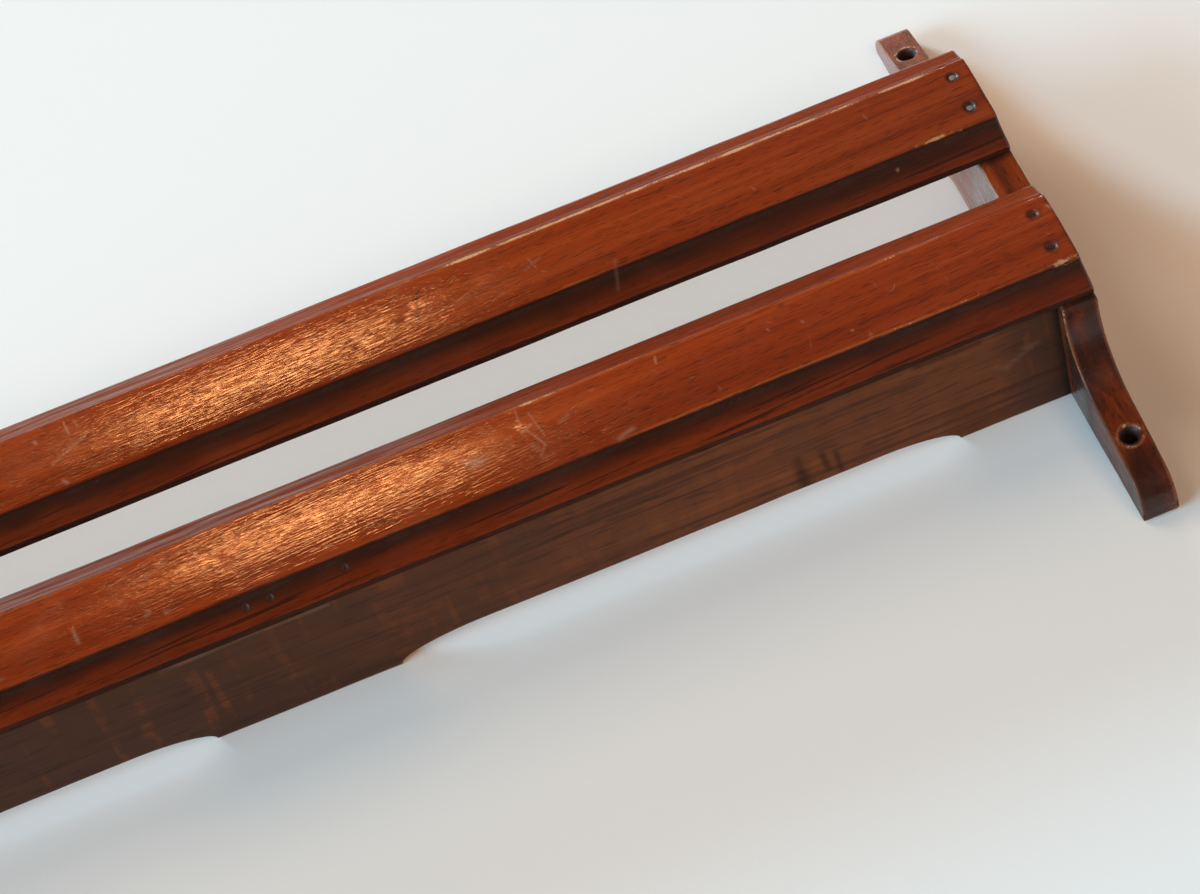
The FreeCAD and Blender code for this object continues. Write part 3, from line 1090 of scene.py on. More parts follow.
    def set_marks(self, x: np.ndarray, distance: np.ndarray, thickness: np.ndarray) -> None:
        """Works out every kind of ageing mark, some of them with painted shade and painted sheen, with the
        scuffs on top.

        Args:
            x: Places along the rail.
            distance: Distance of each point from the rail's middle.
            thickness: Thickness of each point.
        """
        end_dirt = 0.5 * bell(self.from_end(x), 1.0)
        self.marks = {
            Mark.WEAR: self.wear_marks(x, distance, thickness),
            Mark.CORNER: np.maximum(self.corner_marks(distance, thickness), end_dirt),
            Mark.DEEP: self.deep_and_shade_marks(x, distance, thickness),
            Mark.HAZE: self.haze_and_sheen_marks(x, distance),
            Mark.SCRATCH: np.zeros(distance.shape),
            Mark.CALM: step_between(np.abs(distance), self.ridge_distance + 0.3, self.ridge_distance + 1.0)}
        for scuff in self.scuffs:
            self.add_mark(scuff.kind, scuff.share(x, distance) * (thickness > self.strip_thickness - 1.5))

    def insets(self, x: np.ndarray, distance: np.ndarray, thickness: np.ndarray) -> np.ndarray:
        """How far each point moves inwards: a quarter circle at each end, a slight unevenness and hollows.

        Args:
            x: Places along the rail.
            distance: Distance of each point from the rail's middle.
            thickness: Thickness of each point.

        Returns:
            The inward move of each point.
        """
        around = np.arange(distance.shape[1])
        radius = self.end_round * (0.7 + 0.6 * smooth_noise(around * 0.09, x * 0 + 3.5, self.seed + 5))
        near = np.clip(radius - self.from_end(x), 0, None)
        inset = radius - np.sqrt(np.clip(radius**2 - near**2, 0, None))
        inset = inset + self.unevenness * (smooth_noise(x / 9, distance / 2.5, self.seed + 9) - 0.5)
        hollowed = inset + self.hollows(x, distance, thickness)
        return np.maximum(np.where(thickness < 0.4, inset, hollowed), 0)

    def add_mark(self, kind: Mark, values: np.ndarray) -> None:
        """Raises one kind of mark to given values where they are higher."""
        self.marks[kind] = np.maximum(self.marks[kind], values)

    def hollows(self, x: np.ndarray, distance: np.ndarray, thickness: np.ndarray) -> np.ndarray:
        """How deep the nicks, nail pits and dents go, and their marks.

        Args:
            x: Places along the rail.
            distance: Distance of each point from the rail's middle.
            thickness: Thickness of each point.

        Returns:
            Depth below the surface at each point.
        """
        deep = np.zeros(distance.shape)
        for number, nick in enumerate(self.nicks):
            ragged = 0.45 + 1.5 * smooth_noise(x / 1.7, distance / 0.45, self.seed + 20 + number)
            off = distance - nick.ridge.value * self.ridge_distance
            off_ridge = np.hypot(off, thickness - self.ridge_thickness)
            shape = bell((x - nick.x) * ragged, nick.length / 2) * bell(off_ridge * ragged, nick.width)
            deep = deep + nick.depth * step_between(shape, 0.15, 0.75)
            self.add_mark(Mark.WEAR, self.nick_wear * step_between(shape, 0.15, 0.85))
        for name in self.fasteners:
            place, radius = self.fastener_at(name)
            brad = "brad" in name
            reach = radius * (self.brad_pit_share if brad else self.pit_share)
            off = np.hypot(x - place[0], distance - (place[2] - self.middle_z)) / reach
            front = thickness > self.edge_thickness * 0.8
            most = self.brad_pit_depth if brad else self.pit_depth
            deep = deep + np.where(front, most * (1 - step_between(off, 0.55, 1.05)), 0)
            dirt = self.pit_dirt * bell(np.clip(off - 1.0, 0, None), 0.3)
            self.add_mark(Mark.CORNER, np.where(front, dirt, 0))
        dents = np.random.default_rng(self.seed + 40)
        face = thickness > self.ridge_thickness
        for _number in range(self.dent_count):
            place = dents.uniform(self.low[0] + self.dent_margin, self.high[0] - self.dent_margin)
            side = dents.uniform(-0.9, 0.9) * self.ridge_distance
            size = dents.uniform(*self.dent_sizes)
            deep = deep + self.dent_depth * bell(np.hypot((x - place) / 1.8, distance - side), size) * face
        return deep

    def wear_marks(self, x: np.ndarray, distance: np.ndarray, thickness: np.ndarray) -> np.ndarray:
        """How worn each point is: most where a ridge is rubbed, less on the other ridges and the edges.

        Args:
            x: Places along the rail.
            distance: Distance of each point from the rail's middle.
            thickness: Thickness of each point.

        Returns:
            Wear from 0 to 1.
        """
        up = np.hypot(distance - self.ridge_distance + 1.0, thickness - self.ridge_thickness - 0.1)
        down = np.hypot(distance + self.ridge_distance, thickness - self.ridge_thickness)
        edge = np.hypot(np.abs(distance) - self.half_width, thickness - self.edge_thickness)
        patch = smooth_noise(x / 31, distance * 0 + 2.5, self.seed + 2)
        rub = {ridge: 0 * x for ridge in Ridge}
        for ridge, start, end in self.rubbed:
            stretch = step_between(x, start - 9, start + 9) * (1 - step_between(x, end - 9, end + 9))
            rub[ridge] = np.maximum(rub[ridge], stretch)
        marks = (0.08 + 0.42 * patch + 0.52 * rub[Ridge.UPPER]) * bell(up, 1.0)
        marks = np.maximum(marks, (0.05 + 0.32 * patch + 0.22 * rub[Ridge.LOWER]) * bell(down, 0.7))
        marks = np.maximum(marks, (0.05 + 0.30 * patch) * bell(edge, 0.8) * (distance > 0))
        return np.maximum(marks, 0.30 * bell(self.from_end(x), 1.2) * (thickness > 0.5))

    def corner_marks(self, distance: np.ndarray, thickness: np.ndarray) -> np.ndarray:
        """How much dirt and painted shade each point holds: most in the coves at the feet of the ridges,
        some along the lower edge.

        Args:
            distance: Distance of each point from the rail's middle.
            thickness: Thickness of each point.

        Returns:
            Dirt and painted shade from 0 to 1.
        """
        beyond = np.abs(distance) - self.ridge_distance
        # The coves and the lower edge are darkened for dirt and for the shade that falls there.
        foot = np.hypot(beyond - 1.6, thickness - self.ridge_thickness + 1.8)
        thick = np.where(distance < 0, 1.0, 1.5)
        rim = bell(np.abs(distance) - self.half_width, 0.5) * np.where(distance < 0, 1, 0.1)
        strip = 0.10 * step_between(distance, self.ridge_distance + 1.0, self.ridge_distance + 2.0)
        return np.maximum(np.maximum(0.45 * thick * bell(foot, 1.4), 0.15 * rim), strip)

    def deep_and_shade_marks(self, x: np.ndarray, distance: np.ndarray, thickness: np.ndarray) -> np.ndarray:
        """How dark each point is made: much below the lower ridge, where it is pooled varnish and painted
        shade, much on the back, and some above the upper ridge.

        Args:
            x: Places along the rail.
            distance: Distance of each point from the rail's middle.
            thickness: Thickness of each point.

        Returns:
            The share of dark varnish and painted shade.
        """
        lower = step_between(-distance, self.ridge_distance - 0.4, self.ridge_distance + 0.8)
        upper = step_between(distance, self.ridge_distance + 0.8, self.ridge_distance + 2.4)
        # Below the lower ridge the share follows the strip's shading, so it is painted shade as well as
        # pooled varnish.
        pooled_and_shaded = np.interp(-distance - self.ridge_distance, self.pool_and_shade_drops, self.pool_and_shade_shares)
        cloud = 0.92 + 0.16 * smooth_noise(x / 12, distance / 3, self.seed + 70)
        face = self.end_dim * step_between(x, *self.dim_range) * (np.abs(distance) < self.ridge_distance)
        front = cloud * (lower * pooled_and_shaded + 0.30 * upper + face)
        return np.maximum(front, self.back_dark * (thickness < 0.3))

    def haze_and_sheen_marks(self, x: np.ndarray, distance: np.ndarray) -> np.ndarray:
        """How hazy each point is made: a painted sheen line at the foot of the upper ridge, painted sheen
        with haze on the strip above it, and thin dust.

        Args:
            x: Places along the rail.
            distance: Distance of each point from the rail's middle.

        Returns:
            Share of haze and painted sheen, from 0 to 1.
        """
        # The foot line and the strip, strongest towards the left end, paint the sheen of the pale
        # surroundings in the varnish.
        foot = bell(distance - self.ridge_distance - 1.7, 1.1)
        strip = step_between(distance, self.ridge_distance + 0.4, self.ridge_distance + 1.6)
        streak = smooth_noise(x / 24, distance / 0.55, self.seed + 60)
        mottle = 0.15 + 1.75 * step_between(streak, 0.1, 0.9)
        left = 1 - step_between(x, *self.sheen_range)
        dust = 0.035 * step_between(x, *self.dust_range) * (distance < self.ridge_distance)
        return dust + (foot * (self.foot_sheen + 0.40 * left) + strip * (0.05 + 0.70 * left)) * mottle

    def mesh(self, x: np.ndarray, points: np.ndarray) -> bpy.types.Mesh:
        """Turns section points into a closed mesh and keeps the marks on it.

        Args:
            x: Places along the rail.
            points: Distance and thickness of each point.

        Returns:
            The mesh.
        """
        shrink = np.array([0.94, 0.8, 0.6, 0.35, 0.12])
        heart = np.array([0.0, self.ridge_thickness / 2])
        first = heart + (points[:1] - heart) * shrink[::-1, None, None]
        last = heart + (points[-1:] - heart) * shrink[:, None, None]
        whole = np.concatenate([first, points, last])
        places = np.concatenate([np.full(len(shrink), x[0, 0]), x[:, 0], np.full(len(shrink), x[-1, 0])])
        rings = self.placed(places[:, None], whole)
        poles = np.stack([self.placed(np.array(end), heart) for end in (x[0, 0], x[-1, 0])])
        mesh = closed_tube(self.name, rings, poles)
        for kind, marks in self.marks.items():
            first = np.repeat(marks[:1] * self.end_mark_share, len(shrink), axis=0)
            last = np.repeat(marks[-1:] * self.end_mark_share, len(shrink), axis=0)
            full = np.concatenate([first, marks, last]).ravel()
            mark(mesh, kind, np.concatenate([full, [0, 0]]))
        return mesh

    def matt_parts(self, mesh: bpy.types.Mesh) -> None:
        """Gives the lower edge the second material of the mesh, which is darker with painted shade, and the
        foot of the upper ridge the third.

        Args:
            mesh: The finished mesh.
        """
        points = points_of(mesh)
        below = points[:, 2] < self.low[2] + self.crisp_reach
        up = points[:, 2] - self.middle_z - self.ridge_distance
        foot = (up > self.foot_band[0]) & (up < self.foot_band[1])
        foot = foot & (points[:, 1] < self.high[1] - self.strip_thickness + 1.5)
        corners = np.empty(len(mesh.loops), dtype=np.int32)
        mesh.loops.foreach_get("vertex_index", corners)
        starts = np.empty(len(mesh.polygons), dtype=np.int32)
        mesh.polygons.foreach_get("loop_start", starts)
        # The lower edge takes the darker finish, which paints shade on the underside.
        bare, grimy = (np.logical_and.reduceat(part[corners], starts) for part in (below, foot))
        mesh.polygons.foreach_set("material_index", (bare + 2 * grimy).astype(np.int32))

    def placed(self, x: np.ndarray, points: np.ndarray) -> np.ndarray:
        """Points in the rack from places along the rail and (distance, thickness)."""
        x = np.broadcast_to(x, points.shape[:-1])
        return np.stack([x, self.high[1] - points[..., 1], self.middle_z + points[..., 0]], axis=-1)

    def dress(self, *finishes: bpy.types.Material) -> bpy.types.Object:
        """Builds the rail and puts it in place of its CAD node.

        Args:
            finishes: The rail's varnish, its lower edge's darker finish with painted shade and that of the
                upper ridge's foot.

        Returns:
            The rail.
        """
        piece = super().dress(*finishes)
        self.matt_parts(piece.data)
        return piece


@dataclass(frozen=True)
class BracketPoints:
    """The points of a bracket's surface as arrays.

    rim is the distance below the nearer side face, and inner tells the half that is nearer to the books.
    """

    x: np.ndarray
    depth: np.ndarray
    z: np.ndarray
    rim: np.ndarray
    inner: np.ndarray


@dataclass
class EndBracket(RackPiece):
    """A scroll-sawn board with a screwed ear at each end and a hollow sweep between ear and rail seat."""

    slot: ClassVar[Slot] = Slot.BRACKET
    name: str
    seed: int
    fasteners: Sequence[str]
    seat_margin: float = 1.6
    sweep_radius: float = 26.8
    upper_ear_reach: float = 20.0
    upper_ear_depth: float = 14.9
    upper_ear_angle: float = 15.0
    upper_tip_radius: float = 8.0
    lower_ear_reach: float = 22.7
    lower_ear_depth: float = 19.8
    lower_ear_angle: float = 11.3
    lower_tip_radius: float = 12.2
    tip_heel_radius: float = 1.5
    seat_corner_radius: float = 0.8
    relief_depth: float = 3.8
    relief_run: float = 10.0
    relief_drop: float = 5.0
    relief_curve_radius: float = 8.0
    arris: float = 0.75
    tip_ease: float = 0.6
    waviness: float = 0.16
    hole_radius: float = 2.7
    hole_sides: int = 40
    sink_radius: float = 3.9
    sink_depth: float = 1.4
    pit_sides: int = 24
    ring_spacing: float = 1.5
    height_share: float = 0.82
    length_share: float = 0.18
    rubbed: Sequence[tuple[float, float]] = ((-14.0, 7.0), (-86.0, -73.0))

    def __post_init__(self) -> None:
        """Reads the bracket's place and its neighbours' places from the frame."""
        self.low, self.high = node_box(self.name)
        self.seat_depth = -self.low[1]
        self.middle_x = (self.low[0] + self.high[0]) / 2
        self.half = (self.high[0] - self.low[0]) / 2
        self.outwards = math.copysign(1, self.middle_x)
        gap_top, self.upper_rail_top = (corner[2] for corner in node_box("upper_rail"))
        self.lower_rail_bottom, gap_bottom = (corner[2] for corner in node_box("lower_rail"))
        self.gap_middle, self.gap_half = (gap_top + gap_bottom) / 2, (gap_top - gap_bottom) / 2
        shelf_bottom, self.shelf_top = (corner[2] for corner in node_box("bottom_shelf"))
        self.shelf_half = (self.shelf_top - shelf_bottom) / 2
        self.screws = {self.high[2] - self.upper_ear_reach: self.upper_ear_depth,
                       self.low[2] + self.lower_ear_reach: self.lower_ear_depth}

    def edges(self) -> tuple[np.ndarray, np.ndarray]:
        """The front and the pew side of the outline, each from the lower tip to the upper tip.

        Returns:
            Two paths as rows of depth and height.
        """
        upper_tip, lower_tip = self.high[2], self.low[2]
        seat_top = self.upper_rail_top + self.seat_margin
        seat_bottom = self.lower_rail_bottom - self.seat_margin
        upper_screw, lower_screw = upper_tip - self.upper_ear_reach, lower_tip + self.lower_ear_reach
        upper_slope = math.tan(math.radians(self.upper_ear_angle))
        lower_slope = math.tan(math.radians(self.lower_ear_angle))
        upper = [self.upper_ear_depth - upper_slope * (z - upper_screw) for z in (upper_tip, seat_top)]
        lower = [self.lower_ear_depth - lower_slope * (lower_screw - z) for z in (lower_tip, seat_bottom)]
        relief_top = self.upper_rail_top - self.relief_drop
        front = rounded_path([
            (self.tip_heel_radius, lower_tip, 0), (lower[0], lower_tip, self.lower_tip_radius),
            (lower[1], seat_bottom, self.sweep_radius),
            (self.seat_depth, seat_bottom, self.seat_corner_radius),
            (self.seat_depth, seat_top, self.seat_corner_radius), (upper[1], seat_top, self.sweep_radius),
            (upper[0], upper_tip, self.upper_tip_radius), (self.tip_heel_radius, upper_tip, 0)])
        back = rounded_path([
            (self.tip_heel_radius * 1.01, lower_tip, 0), (0, lower_tip, self.tip_heel_radius),
            (0, self.shelf_top, self.relief_curve_radius),
            (self.relief_depth, self.shelf_top + self.relief_run, self.relief_curve_radius),
            (self.relief_depth, relief_top - self.relief_run, self.relief_curve_radius),
            (0, relief_top, self.relief_curve_radius), (0, upper_tip, self.tip_heel_radius),
            (self.tip_heel_radius * 1.01, upper_tip, 0)])
        return front[1:-1], back[1:-1]

    def rulings(self) -> tuple[np.ndarray, np.ndarray]:
        """Pairs of points on the front and the pew side, such that no two of the lines between them cross.

        The pew side's point follows the front's height, with a small share of the front's length so that it
        keeps moving along a level part of the front.

        Returns:
            Front points and pew side points, as rows of x, y and z.
        """
        front, back = self.edges()
        run = np.concatenate([[0], np.cumsum(np.linalg.norm(np.diff(front, axis=0), axis=1))])
        heading = np.unwrap(np.arctan2(*np.gradient(front, axis=0).T))
        turning = np.abs(np.gradient(heading, run + np.arange(len(run)) * 1e-6))
        wanted = self.ring_spacing / (1 + 30 * np.clip(turning, 0, 0.12))
        places = spaced(0, run[-1], lambda at: np.interp(at, run, wanted))
        front = along_path(front, places / run[-1])
        rise = (front[:, 1] - front[0, 1]) / (front[-1, 1] - front[0, 1])
        share = self.height_share * rise + self.length_share * places / run[-1]
        height = back[0, 1] + share * (back[-1, 1] - back[0, 1])
        order = np.maximum.accumulate(back[:, 1]) + np.arange(len(back)) * 1e-7
        depth = np.interp(height, order, back[:, 0])
        depth[[0, -1]] = back[[0, -1], 0]
        fronts = np.stack([np.full(len(front), self.middle_x), -front[:, 0], front[:, 1]], axis=1)
        backs = np.stack([np.full(len(front), self.middle_x), -depth, height], axis=1)
        return fronts, backs

    def build(self) -> bpy.types.Mesh:
        """The bracket's surface: rounded board rings along the outline, with screw holes and nail pits.

        Returns:
            The mesh, with its ageing marked.
        """
        front, back = self.rulings()
        number = np.arange(len(front))
        radius = self.arris * (0.65 + 0.8 * smooth_noise(number / 9, number * 0 + 0.5, self.seed))
        rings = BoardRing().rings(front, back, (1, 0, 0), self.half, radius)
        rings = self.eased_tips(rings)
        wave = smooth_noise(rings[..., 2] / 14, rings[..., 1] / 17, self.seed + 1) - 0.5
        rings[..., 0] += self.waviness * (np.abs(wave) - 0.5) * np.sign(rings[..., 0] - self.middle_x)
        cutters = [self.screw_hole(z, depth) for z, depth in self.screws.items()]
        cutters += [self.nail_pit(name) for name in self.fasteners]
        mesh = cut_away(closed_tube(self.name, rings), cutters)
        self.mark_age(mesh)
        return mesh

    def eased_tips(self, rings: np.ndarray) -> np.ndarray:
        """Adds a narrower ring at each tip, so that the sides of the ends have soft arrises too.

        Args:
            rings: Ring by ring, the points around it. The outer parts of the end rings are moved inwards.

        Returns:
            The rings with one more at each end.
        """
        ease = self.arris * self.tip_ease
        ends = []
        for index, way in ((0, 1), (-1, -1)):
            ring = rings[index].copy()
            sideways = (ring[:, 0] - self.middle_x) / self.half
            rings[index, :, 2] += way * ease * sideways**8
            ring[:, 0] = self.middle_x + sideways * (self.half - ease)
            ends.append(ring)
        return np.concatenate([ends[0][None], rings, ends[1][None]])

    def screw_hole(self, z: float, depth: float) -> bpy.types.Mesh:
        """The shape of one countersunk screw hole: circles along the hole, a little uneven at the mouth.

        Args:
            z: Height of the hole.
            depth: Depth of the ear's front at the hole.

        Returns:
            A closed mesh to cut with.
        """
        sink = self.sink_depth
        slope = (self.sink_radius - self.hole_radius) / sink
        along = np.array([-2.0, 1.0, depth - sink, depth - 0.3, depth + 0.4, depth + 5.0])
        rise = np.array([0.0, 0.0, 0.0, sink - 0.3, sink + 0.5, sink + 2.2])
        radius = self.hole_radius + slope * rise
        turn = np.linspace(0, 2 * np.pi, self.hole_sides, endpoint=False)
        uneven = 1 + 0.07 * (smooth_noise(turn * 2.2, turn * 0 + z, self.seed + 11) - 0.5)
        reach = radius[:, None] * uneven
        across, up = self.middle_x + reach * np.cos(turn), z + reach * np.sin(turn)
        return closed_tube("screw_hole", np.stack([across, -along[:, None] + 0 * reach, up], axis=-1))

    def nail_pit(self, name: str) -> bpy.types.Mesh:
        """The pit that a nail's head sits in on the bracket's outer face: circles that widen outwards.

        Args:
            name: The nail.

        Returns:
            A closed mesh to cut with.
        """
        low, high = node_box(name)
        middle, head = (low + high) / 2, (high[2] - low[2]) / 2
        outer = self.middle_x + self.outwards * self.half
        turn = np.linspace(0, 2 * np.pi, self.pit_sides, endpoint=False)
        along = np.array([-1.3, -0.9, -0.3, 2.0])[:, None]
        reach = head * np.array([1.05, 1.2, 1.3, 1.6])[:, None]
        across = outer + self.outwards * along + 0 * reach * turn
        rings = [across, middle[1] + reach * np.cos(turn), middle[2] + reach * np.sin(turn)]
        return closed_tube("nail_pit", np.stack(rings, axis=-1))

    def wear_marks(self, at: BracketPoints) -> np.ndarray:
        """How worn each point is: on the arrises, most on the rubbed stretches, and round the screw holes.

        Args:
            at: The points.

        Returns:
            Wear from 0 to 1.
        """
        front, back = self.edges()
        fine = along_path(np.concatenate([front, back[::-1]]), np.linspace(0, 1, 900))
        away = np.min(np.hypot(at.depth[:, None] - fine[:, 0], at.z[:, None] - fine[:, 1]), axis=1)
        arris = np.hypot(away, at.rim)
        patch = smooth_noise(at.z / 21, at.x / 9, self.seed + 4)
        wear = (0.25 + 0.45 * patch) * bell(arris, 1.2)
        in_front = at.depth > self.seat_depth / 4
        for bottom, top in self.rubbed:
            stretch = step_between(at.z, bottom - 3, bottom + 3)
            stretch = stretch * (1 - step_between(at.z, top - 3, top + 3))
            rub = (0.42 + 0.4 * patch) * stretch * bell(arris, 0.6)
            wear = np.maximum(wear, rub * at.inner * in_front)
        ring = 0.15 + 0.95 * smooth_noise(at.x / 1.6, at.z / 1.6, self.seed + 7)
        for z, depth in self.screws.items():
            off = np.hypot(at.x - self.middle_x, at.z - z) - self.sink_radius - 0.5
            near = bell(np.clip(depth - at.depth, -1, None), 6.0)
            wear = np.maximum(wear, ring * bell(off, 0.8) * near)
        return wear

    def corner_marks(self, at: BracketPoints) -> np.ndarray:
        """How much dirt each point holds: in the screw holes, along rails and shelf, inside the lower ear.

        Args:
            at: The points.

        Returns:
            Dirt from 0 to 1.
        """
        dirt = np.zeros(len(at.x))
        grimy = 1.30 + 0.50 * smooth_noise(at.x / 1.1, at.z / 1.1, self.seed + 8)
        for z in self.screws:
            off = np.hypot(at.x - self.middle_x, at.z - z)
            hole = 1 - step_between(off, self.sink_radius * 0.85, self.sink_radius * 1.1)
            dirt = np.maximum(dirt, grimy * hole)
        seat = bell(at.depth - self.seat_depth, 1.6) * (at.z > self.lower_rail_bottom - 3)
        seat = seat * bell(np.clip(self.gap_half - np.abs(at.z - self.gap_middle), 0, None), 1.4)
        shelf = bell(np.abs(at.z - self.shelf_top + self.shelf_half) - self.shelf_half, 1.6)
        shelf = shelf * (at.depth < self.seat_depth) * at.inner
        below = 1 - step_between(at.z, self.lower_rail_bottom - 16, self.lower_rail_bottom - 8)
        dirt = np.maximum(dirt, np.maximum(0.6 * seat, 0.6 * shelf))
        return np.maximum(dirt, 0.50 * below * at.inner * (at.rim < 1.0))

    def deep_and_shade_marks(self, at: BracketPoints) -> np.ndarray:
        """How dark the varnish is: darkest at the lower tip and below the rails, in clouds.

        Args:
            at: The points.

        Returns:
            The share of dark varnish.
        """
        seat = self.lower_rail_bottom
        stain = 0.55 * bell(at.z - self.low[2], 14.0) + 0.5 * bell(at.z - seat + 4, 13.0)
        stain = stain + 0.48 * (1 - step_between(at.z, seat - 12, seat + 8))
        return stain * (0.60 + 0.80 * smooth_noise(at.z / 7, at.x / 4.5, self.seed + 12))

    def haze_and_sheen_marks(self, at: BracketPoints) -> np.ndarray:
        """How hazy each point is made: haze on the upper ear, and a pale painted reflection with haze on
        the inner face beside the gap between the rails.

        Args:
            at: The points.

        Returns:
            Haze from 0 to 1.
        """
        ear = 0.44 * step_between(at.z, self.upper_rail_top + 4, self.upper_rail_top + 30)
        # The inner face is painted paler beside the gap, where its varnish reflects the pale pew back.
        opening = bell(np.clip(np.abs(at.z - self.gap_middle) - self.gap_half, 0, None), 16.0)
        opening = opening * step_between(at.depth, 2, 30)
        dust_and_sheen = (0.25 + 1.05 * opening) * step_between(at.z, self.shelf_top, self.shelf_top + 20)
        return np.maximum(ear, dust_and_sheen * at.inner * (at.rim < 0.6))

    def mark_age(self, mesh: bpy.types.Mesh) -> None:
        """Keeps the wear, dirt, dark varnish, and haze with painted reflection on the mesh.

        Args:
            mesh: The finished mesh.
        """
        x, y, z = points_of(mesh).T
        inner = (x - self.middle_x) * self.outwards < 0
        at = BracketPoints(x, -y, z, rim=self.half - np.abs(x - self.middle_x), inner=inner)
        mark(mesh, Mark.WEAR, self.wear_marks(at))
        mark(mesh, Mark.CORNER, self.corner_marks(at))
        mark(mesh, Mark.DEEP, self.deep_and_shade_marks(at))
        mark(mesh, Mark.HAZE, self.haze_and_sheen_marks(at))


@dataclass
class ShelfBoard(RackPiece):
    """The board that books stand on, with two long shallow arches in its rear edge."""

    slot: ClassVar[Slot] = Slot.SHELF
    name: str = "bottom_shelf"
    land_width: float = 70.2
    end_land: float = 42.5
    arch_depth: float = 7.4
    arch_end_length: float = 30.0
    arris: float = 0.7
    waviness: float = 0.2
    seed: int = 17
    stain_places: Sequence[float] = (-305, -100, -33, 5, 60, 115, 150, 192, 245, 262, 278, 292)
    stain_shares: Sequence[float] = (1, 1, 0.92, 0.84, 0.74, 0.64, 0.48, 0.25, 0.28, 0.48, 0.85, 1)
    scuffs: Sequence[Scuff] = (
        Scuff((190.0, -24.0), (190.5, -6.0), 1.8, 0.45, Mark.CORNER),
        Scuff((190.3, -18.0), (191.0, -6.0), 2.4, 0.75, Mark.CORNER),
        Scuff((199.0, -22.0), (200.0, -13.0), 1.3, 0.60, Mark.CORNER),
        Scuff((204.0, -20.0), (204.5, -9.0), 1.1, 0.55, Mark.CORNER),
        Scuff((238.0, -48.0), (262.0, -47.4), 1.2, 0.80, Mark.CORNER),
        Scuff((150.0, -40.0), (152.0, -12.0), 3.5, 0.62, Mark.DEEP),
        Scuff((168.0, -30.0), (166.0, -8.0), 2.5, 0.58, Mark.DEEP),
        Scuff((-42.0, -48.0), (20.0, -47.8), 0.5, 0.45),
        Scuff((270.0, -29.0), (280.5, -34.5), 0.8, 0.20),
        Scuff((266.0, -31.0), (270.0, -28.0), 0.9, 0.16),
        Scuff((277.0, -36.0), (283.0, -35.0), 0.8, 0.18),
    )

    def __post_init__(self) -> None:
        """Reads the shelf's place from the frame."""
        self.low, self.high = node_box(self.name)
        self.middle_z = (self.low[2] + self.high[2]) / 2
        self.half = (self.high[2] - self.low[2]) / 2

    def stations(self) -> np.ndarray:
        """Places along the shelf: even, with more where an arch starts or a scuff lies.

        Returns:
            The places in order.
        """
        starts = np.array([self.land_width / 2, self.high[0] - self.end_land])
        starts = np.concatenate([-starts, starts])

        def spacing(x: np.ndarray) -> np.ndarray:
            """The wanted distance apart.

            Args:
                x: Places along the shelf.

            Returns:
                The distance at each place.
            """
            near = np.min(np.abs(x[:, None] - starts), axis=1)
            wanted = 0.12 + 2.2 * step_between(near, 0, 26)
            for scuff in self.scuffs:
                wanted = np.minimum(wanted, scuff.spacing(x))
            return wanted

        return spaced(self.low[0], self.high[0], spacing)

    def rear(self, x: np.ndarray) -> np.ndarray:
        """How far the rear edge stands off the pew: a quarter ellipse at each end of a level arch.

        Args:
            x: Places along the shelf.

        Returns:
            The distance at each place.
        """
        outer, inner = self.high[0] - self.end_land, self.land_width / 2
        into = np.minimum(outer - np.abs(x), np.abs(x) - inner)
        share = np.clip(1 - into / self.arch_end_length, 0, 1)
        return np.where(into > 0, self.arch_depth * np.sqrt(np.clip(1 - share**2, 0, 1)), 0)

    def build(self) -> bpy.types.Mesh:
        """The shelf's surface: rounded board rings along its length, a little uneven from the plane.

        Returns:
            The mesh, with its ageing marked.
        """
        x = self.stations()
        front = np.stack([x, np.full(len(x), self.low[1]), np.full(len(x), self.middle_z)], axis=1)
        back = np.stack([x, self.high[1] - self.rear(x), np.full(len(x), self.middle_z)], axis=1)
        radius = self.arris * (0.6 + 0.8 * smooth_noise(x / 17, x * 0 + 0.5, self.seed))
        rings = BoardRing(across=9, along=34).rings(front, back, (0, 0, 1), self.half, radius)
        wave = smooth_noise(rings[..., 0] / 26, rings[..., 1] / 9, self.seed + 1) - 0.5
        rings[..., 2] -= self.waviness * (np.abs(wave) + 0.1) * np.sign(rings[..., 2] - self.middle_z)
        mesh = closed_tube(self.name, rings)
        self.mark_age(mesh)
        return mesh

    def mark_age(self, mesh: bpy.types.Mesh) -> None:
        """Keeps wear on the arrises, dirt along rail and brackets, scuffs and a dark stain on the mesh.

        Args:
            mesh: The finished mesh.
        """
        x, y, z = points_of(mesh).T
        face = self.half - np.abs(z - self.middle_z)
        rear = np.abs(y - self.high[1] + self.rear(x))
        patch = smooth_noise(x / 27, z / 8, self.seed + 4)
        wear = (0.05 + 0.4 * patch) * bell(np.hypot(face, rear), 0.9)
        wear = np.maximum(wear, (0.30 + 0.6 * patch) * bell(np.hypot(face, y - self.low[1] - 2.2), 1.0))
        corner = np.maximum(bell(y - self.low[1], 1.5), bell(self.high[0] - np.abs(x), 2.2))
        cloud = 0.88 + 0.24 * smooth_noise(x / 13, y / 6, self.seed + 8)
        stain = np.interp(x, self.stain_places, self.stain_shares) * cloud
        marks = {Mark.WEAR: wear, Mark.CORNER: 0.95 * corner, Mark.DEEP: stain, Mark.SCRATCH: 0 * x}
        under = z < self.middle_z
        for scuff in self.scuffs:
            marks[scuff.kind] = np.maximum(marks[scuff.kind], scuff.share(x, y) * under)
        for kind, values in marks.items():
            mark(mesh, kind, values)


